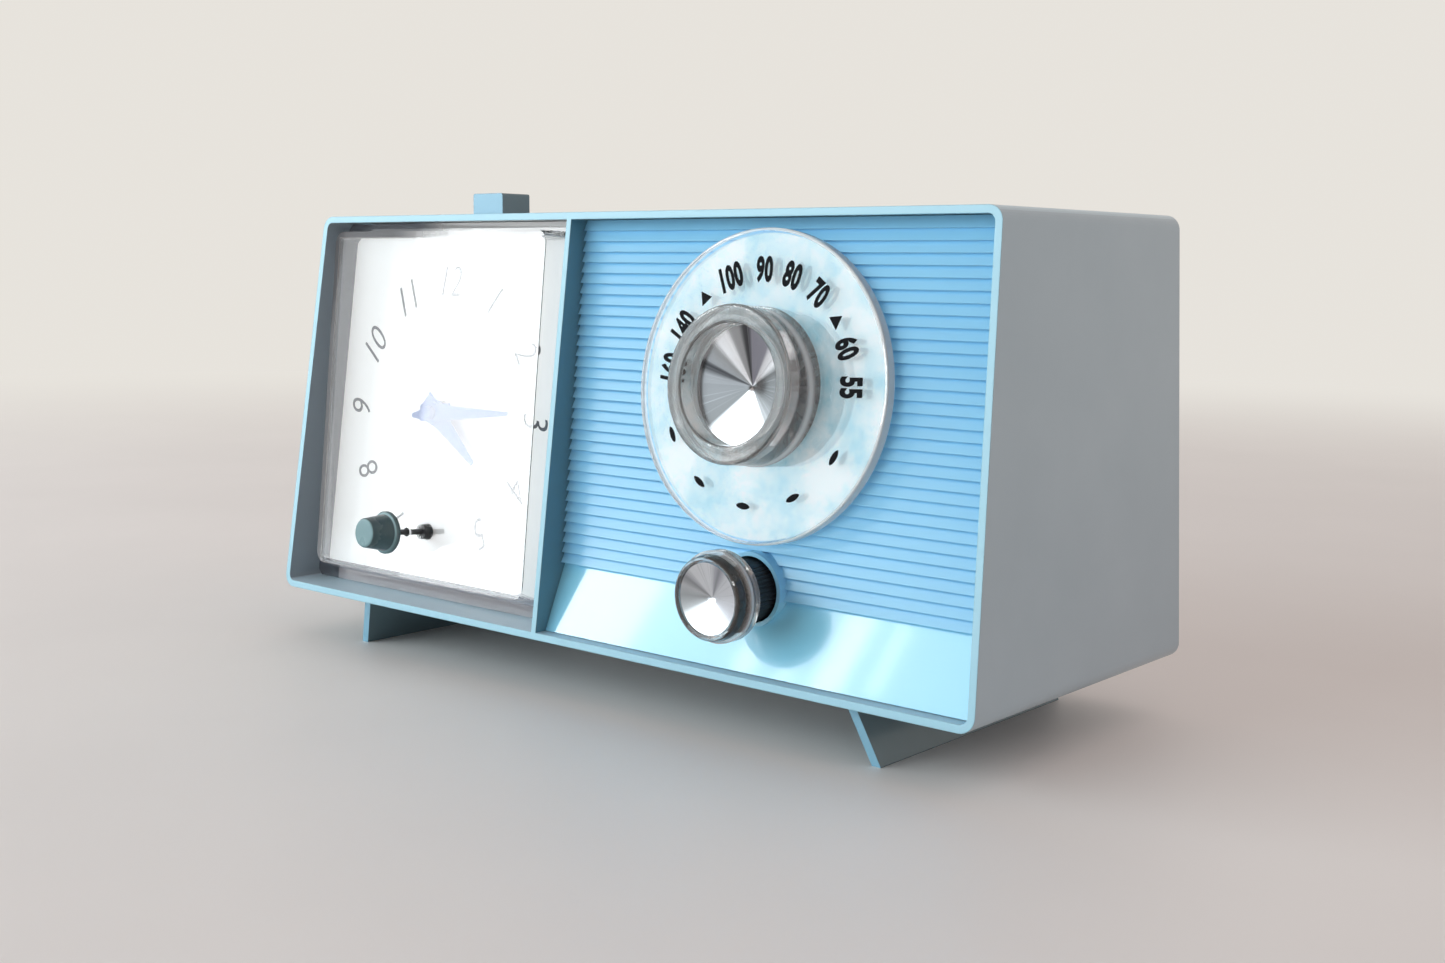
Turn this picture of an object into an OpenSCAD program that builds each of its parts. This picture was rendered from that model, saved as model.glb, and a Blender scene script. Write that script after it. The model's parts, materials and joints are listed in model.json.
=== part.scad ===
// Table clock radio: moulded cabinet on two splayed feet, clock on the left,
// clapboard grille with a large turning dial on the right.
// Millimetres, +Z up, front towards -Y, X to the right seen from the front.

/* [Cabinet] */
// Width of the cabinet along its top edge
top_w = 280; // [270:1:290]
// Height of the cabinet without its feet
body_h = 132.5; // [130:0.5:136]
// Depth of the cabinet along its bottom edge
body_d = 116; // [112:1:126]
// Lean of the side walls, wider at the bottom, in degrees
side_splay = 2.63; // [2:0.05:3]
// Lean of the open front, bottom forward, in degrees
front_lean = 7.13; // [6.5:0.05:7.5]
// Thickness of the moulded walls
wall = 2.2; // [2:0.1:2.6]
// Outside radius of the long edges
corner_r = 4.5; // [3:0.5:6]
// Place of the divider between clock and radio
divider_x = -14.9; // [-16:0.1:-13]
// Thickness of the divider
divider_t = 2; // [1.6:0.1:2.4]
// Depth to which the divider runs back
divider_d = 70; // [50:1:80]

/* [Feet] */
// Height of the feet
foot_h = 17; // [14:0.5:20]
// Thickness of a foot plate
foot_t = 3; // [2.5:0.1:4]
// Outer face of a foot where it meets the cabinet
foot_top_x = 105.6; // [100:0.2:110]
// How far a foot leans out on its way down
foot_lean_out = 6.6; // [4:0.2:9]

/* [Grille panel] */
// Tilt of the panel, dial and clock face from upright, in degrees
panel_tilt = 5.74; // [5:0.02:6.4]
// Number of clapboard ribs
rib_count = 33; // [28:1:38]
// How far a rib's lower lip stands out
rib_step = 1.3; // [0.8:0.1:1.6]
// Height at which the smooth strip meets the ribs
strip_top = 23.2; // [22:0.2:24]

/* [Tuning dial] */
// Dial centre, sideways
dial_x = 65.3; // [62:0.1:66]
// Dial centre, height above the cabinet's underside
dial_z = 82.3; // [80:0.1:84]
// Dial radius
dial_r = 44.6; // [42:0.1:45]
// Dial thickness
dial_t = 3.8; // [3:0.1:4.5]
// Radius of the tuning knob at its base
knob_r = 22.6; // [21:0.1:24]
// Distance of the tuning knob's front from the panel
knob_front = 19.8; // [18:0.1:21]

/* [Volume control] */
// Height of the volume knob's axis
volume_z = 25.4; // [25:0.1:26]
// Largest radius of the volume knob
volume_r = 13.1; // [12:0.1:13.5]
// Radius of its splined collar
collar_r = 9; // [8.5:0.1:9.2]

/* [Clock] */
// Clock centre, sideways
clock_x = -80; // [-81:0.1:-79]
// Clock centre, height
clock_z = 65.5; // [65:0.1:66]
// Set knob's place below the clock centre
set_drop = 41.2; // [41:0.1:42]
// Set knob's place to the left of the clock centre
set_left = 4.3; // [4:0.1:5]
// Length of the minute hand
minute_len = 38; // [34:0.5:40]
// Length of the hour hand
hour_len = 26; // [22:0.5:28]
// Time shown at rest, minutes past twelve
rest_minutes = 254.5; // [0:0.5:719]

/* [Snooze button] */
// Height of the button above the cabinet
snooze_h = 8; // [6:0.5:9]
// Width of the button
snooze_w = 15; // [13:0.5:17]
// Depth of the button
snooze_d = 12.5; // [11:0.5:14]

/* [Hidden] */
$fn = 64;

sky = "#8fcdf0";
pale = "#a9bfcd";
clear = "#e8f4fa";
metal = "#c9ccd0";
brass = "#c9a64e";
black = "#202226";

gap = 0.15;
// How far a cutter reaches past what it cuts
over = 10;
// Slip between pieces that are fixed together, and running clearance
slip = 0.03;
run = 0.05;
lean_t = tan(front_lean);
splay_t = tan(side_splay);
tilt_t = tan(panel_tilt);
tilt_c = cos(panel_tilt);

// Front-most and rear-most points, which set the origin's place in depth
set_front = 28;
set_tip_r = 4.2;
face_y0 = 14;
front_y = face_y0 + tilt_t * clock_z - (set_front + (set_drop + set_tip_r) * tilt_t) * tilt_c;
mid_y = (front_y + body_d) / 2;

function side_x(z) = top_w / 2 + (body_h - z) * splay_t;
function inner_x(z) = side_x(z) - wall;

module place() translate([0, -mid_y, foot_h]) children();

// Extrudes a shape drawn in X and Z from y0 to y1
module prism_y(y0, y1)
    translate([0, y1, 0]) rotate([90, 0, 0]) linear_extrude(y1 - y0) children();

// Extrudes a shape drawn in Y and Z from x0 to x1
module prism_x(x0, x1)
    translate([x0, 0, 0]) rotate([90, 0, 90]) linear_extrude(x1 - x0) children();

// Local frame on a front-facing plane: X right, Y up the plane, Z out to the front
module facing(x, y, z, tilt) translate([x, y, z]) rotate([90 - tilt, 0, 0]) children();

function arc_points(c, r, a0, a1, n = 8) =
    [for (i = [0 : n]) let (a = a0 + (a1 - a0) * i / n) c + r * [cos(a), sin(a)]];

// Cabinet outline with round corners, drawn in by inset
function corner(inset, r, top) =
    let (z = top ? body_h - inset - r : inset + r)
    [side_x(z) - (inset + r) / cos(side_splay), z];
function mirror_x(p) = [-p[0], p[1]];
function outline(inset) =
    let (r = max(corner_r - inset, 1),
         low = corner(inset, r, false),
         high = corner(inset, r, true),
         s = side_splay)
    concat(arc_points(low, r, -90, s), arc_points(high, r, s, 90),
           arc_points(mirror_x(high), r, 90, 180 - s),
           arc_points(mirror_x(low), r, 180 - s, 270));

/* Cabinet and feet */

rear_t = 2.2;
rear_y = body_d - 4;
boss_r = 4;
boss_low_z = 10;
boss_high_z = body_h - 10;
boss_y = rear_y - rear_t;
boss_in = 3;
boss_len = 18;
boss_pilot_len = 14;
pilot_r = 1.5;
screw_r = 1.4;
boss_places = [for (side = [-1, 1], z = [boss_low_z, boss_high_z])
    [side * (inner_x(z) - boss_in), z]];

tenon_w = 14;
tenon_t = 2;
tenon_ys = [24, 84];
tenon_x = foot_top_x - foot_t / 2;

lug_w = 11;
lug_z = 11;
lug_t = 5;

snooze_x = clock_x;
snooze_y = 47;
snooze_gap = 0.3;

// Depth of the flat backs against which the panel, strip and face seat
panel_y0 = 9.3;
panel_back = 2.5;
strip_front_y = 4.4;
strip_low_z = wall + 0.2;
strip_t = 2.2;
strip_slope = (panel_y0 + 0.9 + tilt_t * strip_top + 0.6 - strip_front_y) / (strip_top - strip_low_z);
face_t = 0.8;
function panel_y(z) = panel_y0 + tilt_t * z;
function panel_back_y(z) = panel_y(z) + panel_back;
function strip_y(z) = strip_front_y + strip_slope * (z - strip_low_z);
function strip_back_y(z) = strip_y(z) + strip_t;
strip_bend_z = (panel_y0 + panel_back - strip_back_y(0)) / (strip_slope - tilt_t);
strip_tilt = atan(strip_slope);
function face_y(z) = face_y0 + tilt_t * z;
function face_back_y(z) = face_y(z) + face_t / tilt_c;

// Heights between which the lugs stand; the steep strip needs a taller one
low_lug = [wall / 2, lug_z];
high_lug = [body_h - lug_z, body_h - wall / 2];
strip_lug = [wall / 2, 14.5];
strip_screw_z = 9.2;

module lug(x0, y_a, y_b, zs)
    prism_x(x0, x0 + lug_w)
        polygon([[y_a, zs[0]], [y_a + lug_t, zs[0]], [y_b + lug_t, zs[1]], [y_b, zs[1]]]);

divider_left = divider_x - divider_t / 2;
divider_right = divider_x + divider_t / 2;
panel_lug_xs = [divider_right - 0.2, inner_x(lug_z) - lug_w - 6];
clock_lug_xs = [-inner_x(lug_z) + 5, divider_left - lug_w + 0.2];

module cabinet_lugs() {
    for (x = panel_lug_xs) {
        lug(x, strip_back_y(strip_lug[0]), strip_back_y(strip_lug[1]), strip_lug);
        lug(x, panel_back_y(high_lug[0]), panel_back_y(high_lug[1]), high_lug);
    }
    for (x = clock_lug_xs, zs = [low_lug, high_lug])
        lug(x, face_back_y(zs[0]), face_back_y(zs[1]), zs);
}

module cabinet_shell() place() color(pale) difference() {
    union() {
        difference() {
            prism_y(-1, body_d) polygon(outline(0));
            prism_y(-2, body_d + 1) polygon(outline(wall));
        }
        prism_x(divider_left, divider_right)
            polygon([[0, wall / 2], [divider_d, wall / 2],
                     [divider_d, body_h - wall / 2], [0, body_h - wall / 2]]);
        cabinet_lugs();
        for (p = boss_places)
            translate([p[0], boss_y, p[1]]) rotate([90, 0, 0]) cylinder(r = boss_r, h = boss_len);
    }
    prism_x(-top_w, top_w)
        polygon([[-2 * over, -over], [-over * lean_t, -over],
                 [(body_h + over) * lean_t, body_h + over], [-2 * over, body_h + over]]);
    for (p = boss_places)
        translate([p[0], boss_y + 1, p[1]]) rotate([90, 0, 0])
            cylinder(r = pilot_r, h = boss_pilot_len);
    for (side = [-1, 1], y = tenon_ys)
        translate([side * tenon_x, y, wall / 2])
            cube([tenon_t + 2 * gap, tenon_w + 2 * gap, 2 * wall], center = true);
    translate([snooze_x, snooze_y, body_h])
        cube([snooze_w + 2 * snooze_gap, snooze_d + 2 * snooze_gap, 4 * wall], center = true);
    lug_screw_holes(panel_screw_places);
    lug_screw_holes(clock_screw_places);
}

// Screws that hold the panel and the clock to the lugs, driven from behind:
// place on the seat, tilt of the seat, bite into what it holds
lug_mid = wall + 3.4;
lug_high = body_h - lug_mid;
panel_bite = 1;
clock_bite = 1.8;
panel_screw_places = concat(
    [for (x = panel_lug_xs)
        [[x + lug_w / 2, strip_back_y(strip_screw_z), strip_screw_z], strip_tilt, panel_bite]],
    [for (x = panel_lug_xs)
        [[x + lug_w / 2, panel_back_y(lug_high), lug_high], panel_tilt, panel_bite]]);
clock_screw_places = [for (x = clock_lug_xs, z = [lug_mid, lug_high])
    [[x + lug_w / 2, face_back_y(z), z], panel_tilt, clock_bite]];

// Local frame on a seat: Z to the rear, square to the seat
module on_seat(place) translate(place[0]) rotate([-90 - place[1], 0, 0]) children();

module lug_screw_holes(places)
    for (p = places)
        on_seat(p) translate([0, 0, -p[2] - 0.1]) cylinder(r = pilot_r, h = p[2] + lug_t + 2);

module lug_screws(places)
    for (p = places)
        on_seat(p) translate([0, 0, lug_t * cos(p[1])]) screw(lug_t * cos(p[1]) + p[2]);

// Pan-head screw, head on top of z = 0, shank down
head_r = 2.6;
head_h = 1.6;
head_round = 1.2;
module screw(shank) {
    rotate_extrude() polygon(concat(
        [[0, head_h], [0, 0], [head_r, 0]],
        arc_points([head_r - head_round, head_h - head_round], head_round, 0, 90, 5)));
    translate([0, 0, -shank]) cylinder(r = screw_r, h = shank + 0.2);
}

module panel_screws() place() color(metal) lug_screws(panel_screw_places);
module clock_screws() place() color(metal) lug_screws(clock_screw_places);

foot_front_top = 5;
foot_front_low = 8.5;
foot_rear_top = 108;
foot_rear_low = 104.5;

module foot(side) place() color(pale) {
    x1 = foot_top_x;
    x0 = foot_top_x - foot_t;
    intersection() {
        prism_y(0, body_d)
            polygon([[side * x0, 0], [side * x1, 0],
                     [side * (x1 + foot_lean_out), -foot_h], [side * (x0 + foot_lean_out), -foot_h]]);
        prism_x(-top_w, top_w)
            polygon([[foot_front_top, 0], [foot_rear_top, 0],
                     [foot_rear_low, -foot_h], [foot_front_low, -foot_h]]);
    }
    for (y = tenon_ys)
        translate([side * tenon_x, y, wall / 2 - 0.5])
            cube([tenon_t, tenon_w, wall + 1], center = true);
}
module left_foot() foot(-1);
module right_foot() foot(1);

/* Grille panel */

panel_top = body_h - wall - gap;
rib_pitch = (panel_top - strip_top) / rib_count;
function rib_z(k) = strip_top + k * rib_pitch;
function deep_y(z) = panel_y(z) + 0.9;
function lip_y(z) = deep_y(z) - rib_step;

speaker_x = 15.8;
speaker_z = 66;
speaker_r = 27.5;
// Sound slits: mouths on the ribs' undersides, running up and back out of sight
slit_r = 22;
slit_w = 0.7;
slit_in = 0.4;
slit_rise = 4;
slit_start = 0.3;

board_y = 58;
board_t = 1.6;
post_r = 3.5;
post_pilot_len = 12;
post_places = [[0, 112], [124, 112], [124, 36], [-4, 31]];

panel_profile = concat(
    [[strip_y(strip_low_z), strip_low_z], [strip_y(strip_top), strip_top]],
    [for (k = [0 : rib_count - 1], end = [0, 1])
        end == 0 ? [lip_y(rib_z(k)), rib_z(k)] : [deep_y(rib_z(k + 1)), rib_z(k + 1)]],
    [[panel_back_y(panel_top), panel_top],
     [panel_back_y(strip_bend_z), strip_bend_z],
     [strip_back_y(strip_low_z), strip_low_z]]);

volume_y = 11.5;
ring_front = 2.2;
ring_r = 10.8;
ring_bore = 9.6;
ring_len = 7;
// Hole in the panel for the dial's hub
hub_hole_r = 7.5;

module speaker_slits()
    for (k = [1 : rib_count - 1])
        let (z = rib_z(k), y = lip_y(z) + slit_in, dz = z - speaker_z)
        if (abs(dz) < slit_r - 2) {
            half = sqrt(slit_r * slit_r - dz * dz);
            prism_x(speaker_x - half, speaker_x + half)
                polygon([[y - slit_start, z - slit_start], [y - slit_start + slit_w, z - slit_start],
                         [y + slit_rise + slit_w, z + slit_rise], [y + slit_rise, z + slit_rise]]);
        }

module front_panel() place() color(sky) difference() {
    union() {
        intersection() {
            prism_x(divider_right + gap, top_w) polygon(panel_profile);
            prism_y(-5, body_d) polygon(outline(wall + gap));
        }
        translate([dial_x, volume_y - ring_front, volume_z]) rotate([-90, 0, 0])
            cylinder(r = ring_r, h = ring_len);
        for (p = post_places)
            translate([p[0], panel_back_y(p[1]) - 1, p[1]]) rotate([-90, 0, 0])
                cylinder(r = post_r, h = board_y - panel_back_y(p[1]) + 1);
    }
    speaker_slits();
    facing(dial_x, panel_y(dial_z), dial_z, panel_tilt)
        translate([0, 0, -12]) cylinder(r = hub_hole_r, h = 30);
    translate([dial_x, -10, volume_z]) rotate([-90, 0, 0]) cylinder(r = ring_bore, h = 40);
    for (p = post_places)
        translate([p[0], board_y - post_pilot_len, p[1]]) rotate([-90, 0, 0])
            cylinder(r = pilot_r, h = post_pilot_len + 1);
    for (a = capacitor_screw_angles)
        facing(dial_x, panel_y(dial_z), dial_z, panel_tilt)
            translate(capacitor_screw_at(a, -8)) cylinder(r = pilot_r, h = 12);
    lug_screw_holes(panel_screw_places);
}

/* Tuning dial, knob and variable capacitor */

dial_back = 3;
dial_front = dial_back + dial_t;
hub_r = 6;
shaft_r = 3;
insert_r = 17;
insert_rim = 12.4;
insert_deep = 8.2;
insert_t = 0.5;
knob_round = 1;
// How far a shaft stops short of the sheet in front of it
shaft_short = 0.6;
knob_taper = 0.4;
back_l = -panel_back * tilt_c;
plate_t = 1.5;
frame_depth = 34;
frame_back = back_l - frame_depth;
capacitor_screw_angles = [60, 180, 300];
capacitor_screw_far = 15;
function capacitor_screw_at(a, z) = [capacitor_screw_far * cos(a), capacitor_screw_far * sin(a), z];

module on_dial() facing(dial_x, panel_y(dial_z), dial_z, panel_tilt) children();

module dial_disc() place() color(clear) on_dial()
    rotate_extrude($fn = 128) polygon(concat(
        [[hub_r + slip, dial_front], [hub_r + slip, dial_back], [dial_r - 0.6, dial_back]],
        arc_points([dial_r - 0.6, dial_back + 0.6], 0.6, -90, 0, 3),
        arc_points([dial_r - 1, dial_front - 1], 1, 0, 90, 5)));

module tuning_knob() place() color(clear) on_dial() {
    cone_low = insert_deep - insert_t;
    rotate_extrude($fn = 128) polygon(concat(
        [[shaft_r + slip, cone_low - shaft_short], [shaft_r + slip, dial_back - 1],
         [hub_r, dial_back - 1], [hub_r, dial_front],
         [knob_r, dial_front], [knob_r - 0.2, dial_front + 1.2]],
        arc_points([knob_r - knob_taper - knob_round, knob_front - knob_round], knob_round, 0, 90, 6),
        arc_points([insert_r + 0.8, knob_front - 0.8], 0.8, 90, 180, 4),
        [[insert_r, insert_rim - insert_t], [shaft_r + 0.4, cone_low]]));
}

module tuning_knob_insert() place() color(metal) on_dial()
    rotate_extrude($fn = 128) polygon([
        [0, insert_deep], [0, insert_deep - insert_t], [shaft_r + 0.4, insert_deep - insert_t],
        [insert_r - 0.05, insert_rim - insert_t], [insert_r - 0.05, insert_rim]]);

module tuning_shaft() place() color(metal) on_dial()
    translate([0, 0, frame_back - 2])
        cylinder(r = shaft_r, h = insert_deep - insert_t - shaft_short - frame_back + 2);

vane_count = 9;
vane_t = 0.6;
vane_pitch = 2.6;
vane_r = 16.5;
vane_start = back_l - plate_t - 5;
rotor_hub_r = 5;
stator_r = 21;
stator_bore = 6.2;
stator_rod_r = 1.6;
stator_half_w = 17.5;
stator_rods = [[-9, -17], [9, -17]];

module half_disc(r, t, up) intersection() {
    cylinder(r = r, h = t);
    translate([-r, up ? 0 : -r, 0]) cube([2 * r, r, t]);
}

module capacitor_rotor() place() color(metal) on_dial() difference() {
    union() {
        for (i = [0 : vane_count - 1])
            translate([0, 0, vane_start - i * vane_pitch]) rotate(90) half_disc(vane_r, vane_t, true);
        translate([0, 0, vane_start - vane_count * vane_pitch])
            cylinder(r = rotor_hub_r, h = vane_count * vane_pitch + 2);
    }
    translate([0, 0, frame_back]) cylinder(r = shaft_r + slip, h = frame_depth + 10);
}

module capacitor_stator() place() color("#d7dadd") on_dial() {
    for (i = [0 : vane_count - 2])
        translate([0, 0, vane_start - vane_pitch / 2 - i * vane_pitch]) difference() {
            intersection() {
                half_disc(stator_r, vane_t, false);
                translate([-stator_half_w, -stator_r, 0]) cube([2 * stator_half_w, stator_r - 1, vane_t]);
            }
            translate([0, 0, -1]) cylinder(r = stator_bore, h = 3);
        }
    for (p = stator_rods)
        translate([p[0], p[1], frame_back + plate_t])
            cylinder(r = stator_rod_r, h = frame_depth - 2 * plate_t);
}

frame_w = 38;
frame_low = -stator_r - 3;
frame_high = 19;

module capacitor_frame() place() color(metal) on_dial() difference() {
    union() {
        for (z = [back_l - plate_t, frame_back])
            translate([-frame_w / 2, frame_low, z]) cube([frame_w, frame_high - frame_low, plate_t]);
        translate([-frame_w / 2, frame_low, frame_back]) cube([frame_w, plate_t, frame_depth]);
    }
    translate([0, 0, frame_back - 1]) cylinder(r = shaft_r + run, h = frame_depth + 2);
    for (a = capacitor_screw_angles)
        translate(capacitor_screw_at(a, back_l - plate_t - 1)) cylinder(r = screw_r + 0.1, h = 4);
}

module capacitor_screws() place() color(metal) on_dial()
    for (a = capacitor_screw_angles)
        translate(capacitor_screw_at(a, back_l - plate_t)) rotate([180, 0, 0])
            screw(plate_t + 1.4);

/* Volume control */

module on_volume() facing(dial_x, volume_y, volume_z, 0) children();

volume_front = 21.6;
volume_back = 13;
volume_insert_r = 10.2;
// Stepped side: width of the rear band, then the groove's place and depth
volume_band = 4.4;
volume_groove = 5.1;
volume_groove_in = 1.3;
volume_step = 5.7;
volume_step_in = 0.9;
// Depths of the dish behind the knob's front: middle, rim and rim's edge
dish_deep = 3.4;
dish_rim = 1.4;
dish_edge = 0.9;
dish_t = 0.3;
collar_back = -6;
spline_count = 40;
spline_deep = 0.6;

module volume_knob() place() color(clear) on_volume()
    rotate_extrude($fn = 96) polygon(concat(
        [[shaft_r + slip, volume_back + 4], [shaft_r + slip, volume_back], [volume_r - 1, volume_back]],
        arc_points([volume_r - 1, volume_back + 1], 1, -90, 0, 4),
        [[volume_r, volume_back + volume_band],
         [volume_r - volume_groove_in, volume_back + volume_groove],
         [volume_r - volume_step_in, volume_back + volume_step]],
        arc_points([volume_r - 2.2, volume_front - 1], 1, 0, 90, 4),
        [[volume_insert_r, volume_front - 0.4], [volume_insert_r, volume_front - dish_rim],
         [shaft_r + 0.4, volume_front - dish_deep]]));

module volume_knob_insert() place() color(metal) on_volume()
    rotate_extrude($fn = 96) polygon([
        [0, volume_front - dish_deep + dish_t], [0, volume_front - dish_deep],
        [shaft_r + 0.4, volume_front - dish_deep],
        [volume_insert_r - 0.05, volume_front - dish_rim],
        [volume_insert_r - 0.05, volume_front - dish_edge]]);

module volume_collar() place() color(black) on_volume() difference() {
    translate([0, 0, collar_back]) linear_extrude(volume_back - collar_back)
        polygon([for (i = [0 : 2 * spline_count - 1])
            let (a = 180 * i / spline_count, r = i % 2 == 0 ? collar_r : collar_r - spline_deep)
            [r * cos(a), r * sin(a)]]);
    translate([0, 0, collar_back - 1]) cylinder(r = shaft_r + slip, h = volume_back - collar_back + 2);
}

control_back = volume_y - board_y;
control_depth = 13;
control_r = 12;
switch_r = 11;
switch_h = 6.5;
bush_r = 4.6;
bush_h = 9;
nut_r = 7;
nut_h = 2.4;
tab_w = 18;
tab_h = 8;
tab_t = 1.2;

module volume_shaft() place() color(metal) on_volume()
    translate([0, 0, control_back + 4]) cylinder(r = shaft_r, h = volume_back + 4 - control_back - 4);

module volume_control() place() color("#8d8f93") on_volume() difference() {
    union() {
        translate([0, 0, control_back]) cylinder(r = switch_r, h = switch_h + 0.5);
        translate([0, 0, control_back + switch_h]) cylinder(r = control_r, h = control_depth - switch_h);
        translate([0, 0, control_back + control_depth - 0.5]) cylinder(r = bush_r, h = bush_h);
        translate([0, 0, control_back + control_depth]) cylinder(r = nut_r, h = nut_h, $fn = 6);
        translate([-tab_w / 2, -17, control_back + 8]) cube([tab_w, tab_h, tab_t]);
    }
    translate([0, 0, control_back + 3.5]) cylinder(r = shaft_r + run, h = 40);
}

/* Loudspeaker */

// Basket: rim seat, throat and back, as radii and depths behind the panel
seat_r = 24;
seat_deep = 1.8;
throat_r = 22.6;
basket_back_r = 13;
basket_bore = 8;
basket_deep = 15;
basket_t = 1.5;
basket_hole_r = 3.6;
basket_hole_far = 18;
// Cone: roll at its edge, throat and dust cap
cone_edge_r = 23.9;
roll_r = 22;
cone_r = 21;
cone_throat_r = 6.2;
cone_deep = 9.6;
cap_r = 9;
magnet_r = 12;
magnet_h = 13.5;
magnet_back = 30;
pole_r = 7.5;
pole_h = 2;

module on_speaker() facing(speaker_x, panel_back_y(speaker_z), speaker_z, panel_tilt) children();

module speaker_basket() place() color("#9aa0a4") on_speaker() difference() {
    rotate_extrude() polygon([
        [speaker_r, 0], [seat_r, 0], [seat_r, -seat_deep], [throat_r, -seat_deep], [throat_r, -3],
        [basket_back_r, -basket_deep], [basket_bore, -basket_deep],
        [basket_bore, -basket_deep - basket_t], [basket_back_r + 0.6, -basket_deep - basket_t],
        [throat_r + 1.2, -4], [speaker_r, -1.2]]);
    for (a = [0 : 60 : 300])
        rotate(a) translate([basket_hole_far, 0, -20]) cylinder(r = basket_hole_r, h = 15);
}

module speaker_cone() place() color("#3a3733") on_speaker()
    rotate_extrude() polygon(concat(
        [[0, -cone_deep], [0, -9]], arc_points([0, -15.4], cap_r, 65, 47, 4),
        [[cone_r, -1.2], [roll_r, -0.6], [roll_r + 1, -1.2], [cone_edge_r, -1.2],
         [cone_edge_r, -seat_deep], [roll_r + 0.4, -seat_deep], [cone_r, -1.9],
         [cone_throat_r, -cone_deep]]));

module speaker_magnet() place() color("#55585c") on_speaker()
    translate([0, 0, -magnet_back]) {
        cylinder(r = magnet_r, h = magnet_h);
        translate([0, 0, magnet_h - 0.1]) cylinder(r = pole_r, h = pole_h);
    }

/* Circuit board, tubes and parts behind it */

board_x0 = -8;
board_x1 = 132;
board_z0 = 8;
board_z1 = 122;
board_back = board_y + board_t;

module circuit_board() place() color("#9c7440") difference() {
    translate([board_x0, board_y, board_z0]) cube([board_x1 - board_x0, board_t, board_z1 - board_z0]);
    for (p = post_places)
        translate([p[0], board_y - 1, p[1]]) rotate([-90, 0, 0]) cylinder(r = screw_r + 0.2, h = 4);
}

module board_screws() place() color(metal)
    for (p = post_places)
        translate([p[0], board_back, p[1]]) rotate([-90, 0, 0]) screw(10);

tube_r = 9;
socket_h = 7;
socket_r = 10.5;
socket_bore = 2.5;
socket_deep = 3;
tube_round = 5;
tube_places = [[110, 92], [82, 92], [54, 92], [22, 92], [22, 50]];
tube_lengths = [34, 34, 34, 40, 38];

module standing(p) translate([p[0], board_back, p[1]]) rotate([-90, 0, 0]) children();

module tube_sockets() place() color("#3d2c20")
    for (p = tube_places) standing(p) difference() {
        cylinder(r = socket_r, h = socket_h);
        translate([0, 0, socket_h - socket_deep]) cylinder(r = tube_r + 0.3, h = socket_deep + 1);
        translate([0, 0, -1]) cylinder(r = socket_bore, h = 20);
    }

module tube(i) place() color("#dfe6e8") standing(tube_places[i])
    translate([0, 0, socket_h - socket_deep]) {
        len = tube_lengths[i];
        rotate_extrude() polygon(concat(
            [[0, 0], [tube_r, 0]],
            arc_points([tube_r - tube_round, len - tube_round], tube_round, 0, 75, 6),
            [[2.2, len + 0.8], [1, len + 3], [0, len + 3.2]]));
    }
module converter_tube() tube(0);
module amplifier_tube() tube(1);
module detector_tube() tube(2);
module output_tube() tube(3);
module rectifier_tube() tube(4);

can_w = 16;
can_h = 34;
can_hole_r = 3;
can_hole_deep = 4;
module if_can(p) place() color(metal) standing(p) difference() {
    translate([-can_w / 2, -can_w / 2, 0]) cube([can_w, can_w, can_h]);
    translate([0, 0, can_h - can_hole_deep]) cylinder(r = can_hole_r, h = can_hole_deep + 2);
}
module first_if_can() if_can([96, 62]);
module second_if_can() if_can([68, 62]);

filter_r = 11;
filter_h = 43;
module filter_capacitor() place() color("#b9bdc1") standing([46, 44])
    rotate_extrude() polygon(concat(
        [[0, 0], [filter_r - 0.5, 0], [filter_r - 0.5, 2], [filter_r, 2.6]],
        arc_points([filter_r - 1, filter_h], 1, 0, 90, 4), [[filter_r - 2, filter_h], [0, filter_h]]));

core_w = 34;
core_t = 14;
core_h = 28;
core_at = [98, 28];
// Windows in the core, and the coil that fills them round the middle leg
core_hole_w = 6.2;
core_hole_h = 17.2;
core_hole_x = 8.6;
coil_w = 22.8;
coil_h = 16.6;
coil_over = 4;
leg_w = 11.2;
module transformer_core() place() color("#4d4f52") standing(core_at) difference() {
    translate([-core_w / 2, -core_h / 2, 0]) cube([core_w, core_h, core_t]);
    for (side = [-1, 1])
        translate([side * core_hole_x - core_hole_w / 2, -core_hole_h / 2, -1])
            cube([core_hole_w, core_hole_h, core_t + 2]);
}
module transformer_coil() place() color("#b5813a") standing(core_at) difference() {
    translate([-coil_w / 2, -coil_h / 2, 0]) cube([coil_w, coil_h, core_t + coil_over]);
    translate([-leg_w / 2, -9, -1]) cube([leg_w, 18, core_t + 1.1]);
}

rod_y = 101;
rod_z = 116;
rod_r = 4.5;
rod_x = 20;
rod_len = 104;
aerial_coil_x = 62;
aerial_coil_r = 6.4;
aerial_coil_len = 30;
bracket_xs = [30, 112];
bracket_w = 4;
module ferrite_rod() place() color("#3b3d40")
    translate([rod_x, rod_y, rod_z]) rotate([0, 90, 0]) cylinder(r = rod_r, h = rod_len);
module antenna_coil() place() color("#c98b3c")
    translate([aerial_coil_x, rod_y, rod_z]) rotate([0, 90, 0]) difference() {
        cylinder(r = aerial_coil_r, h = aerial_coil_len);
        translate([0, 0, -1]) cylinder(r = rod_r + slip, h = aerial_coil_len + 2);
    }
module antenna_brackets() place() color("#e9e4d4")
    for (x = bracket_xs) difference() {
        translate([x - bracket_w / 2, board_back, rod_z - 7.5])
            cube([bracket_w, rod_y + 7.5 - board_back, 13]);
        translate([x - bracket_w / 2 - 1, rod_y, rod_z]) rotate([0, 90, 0])
            cylinder(r = rod_r + slip, h = bracket_w + 2);
    }

/* Clock: crystal, face, hands and movement */

module on_clock() facing(clock_x, face_y(clock_z), clock_z, panel_tilt) children();

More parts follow.
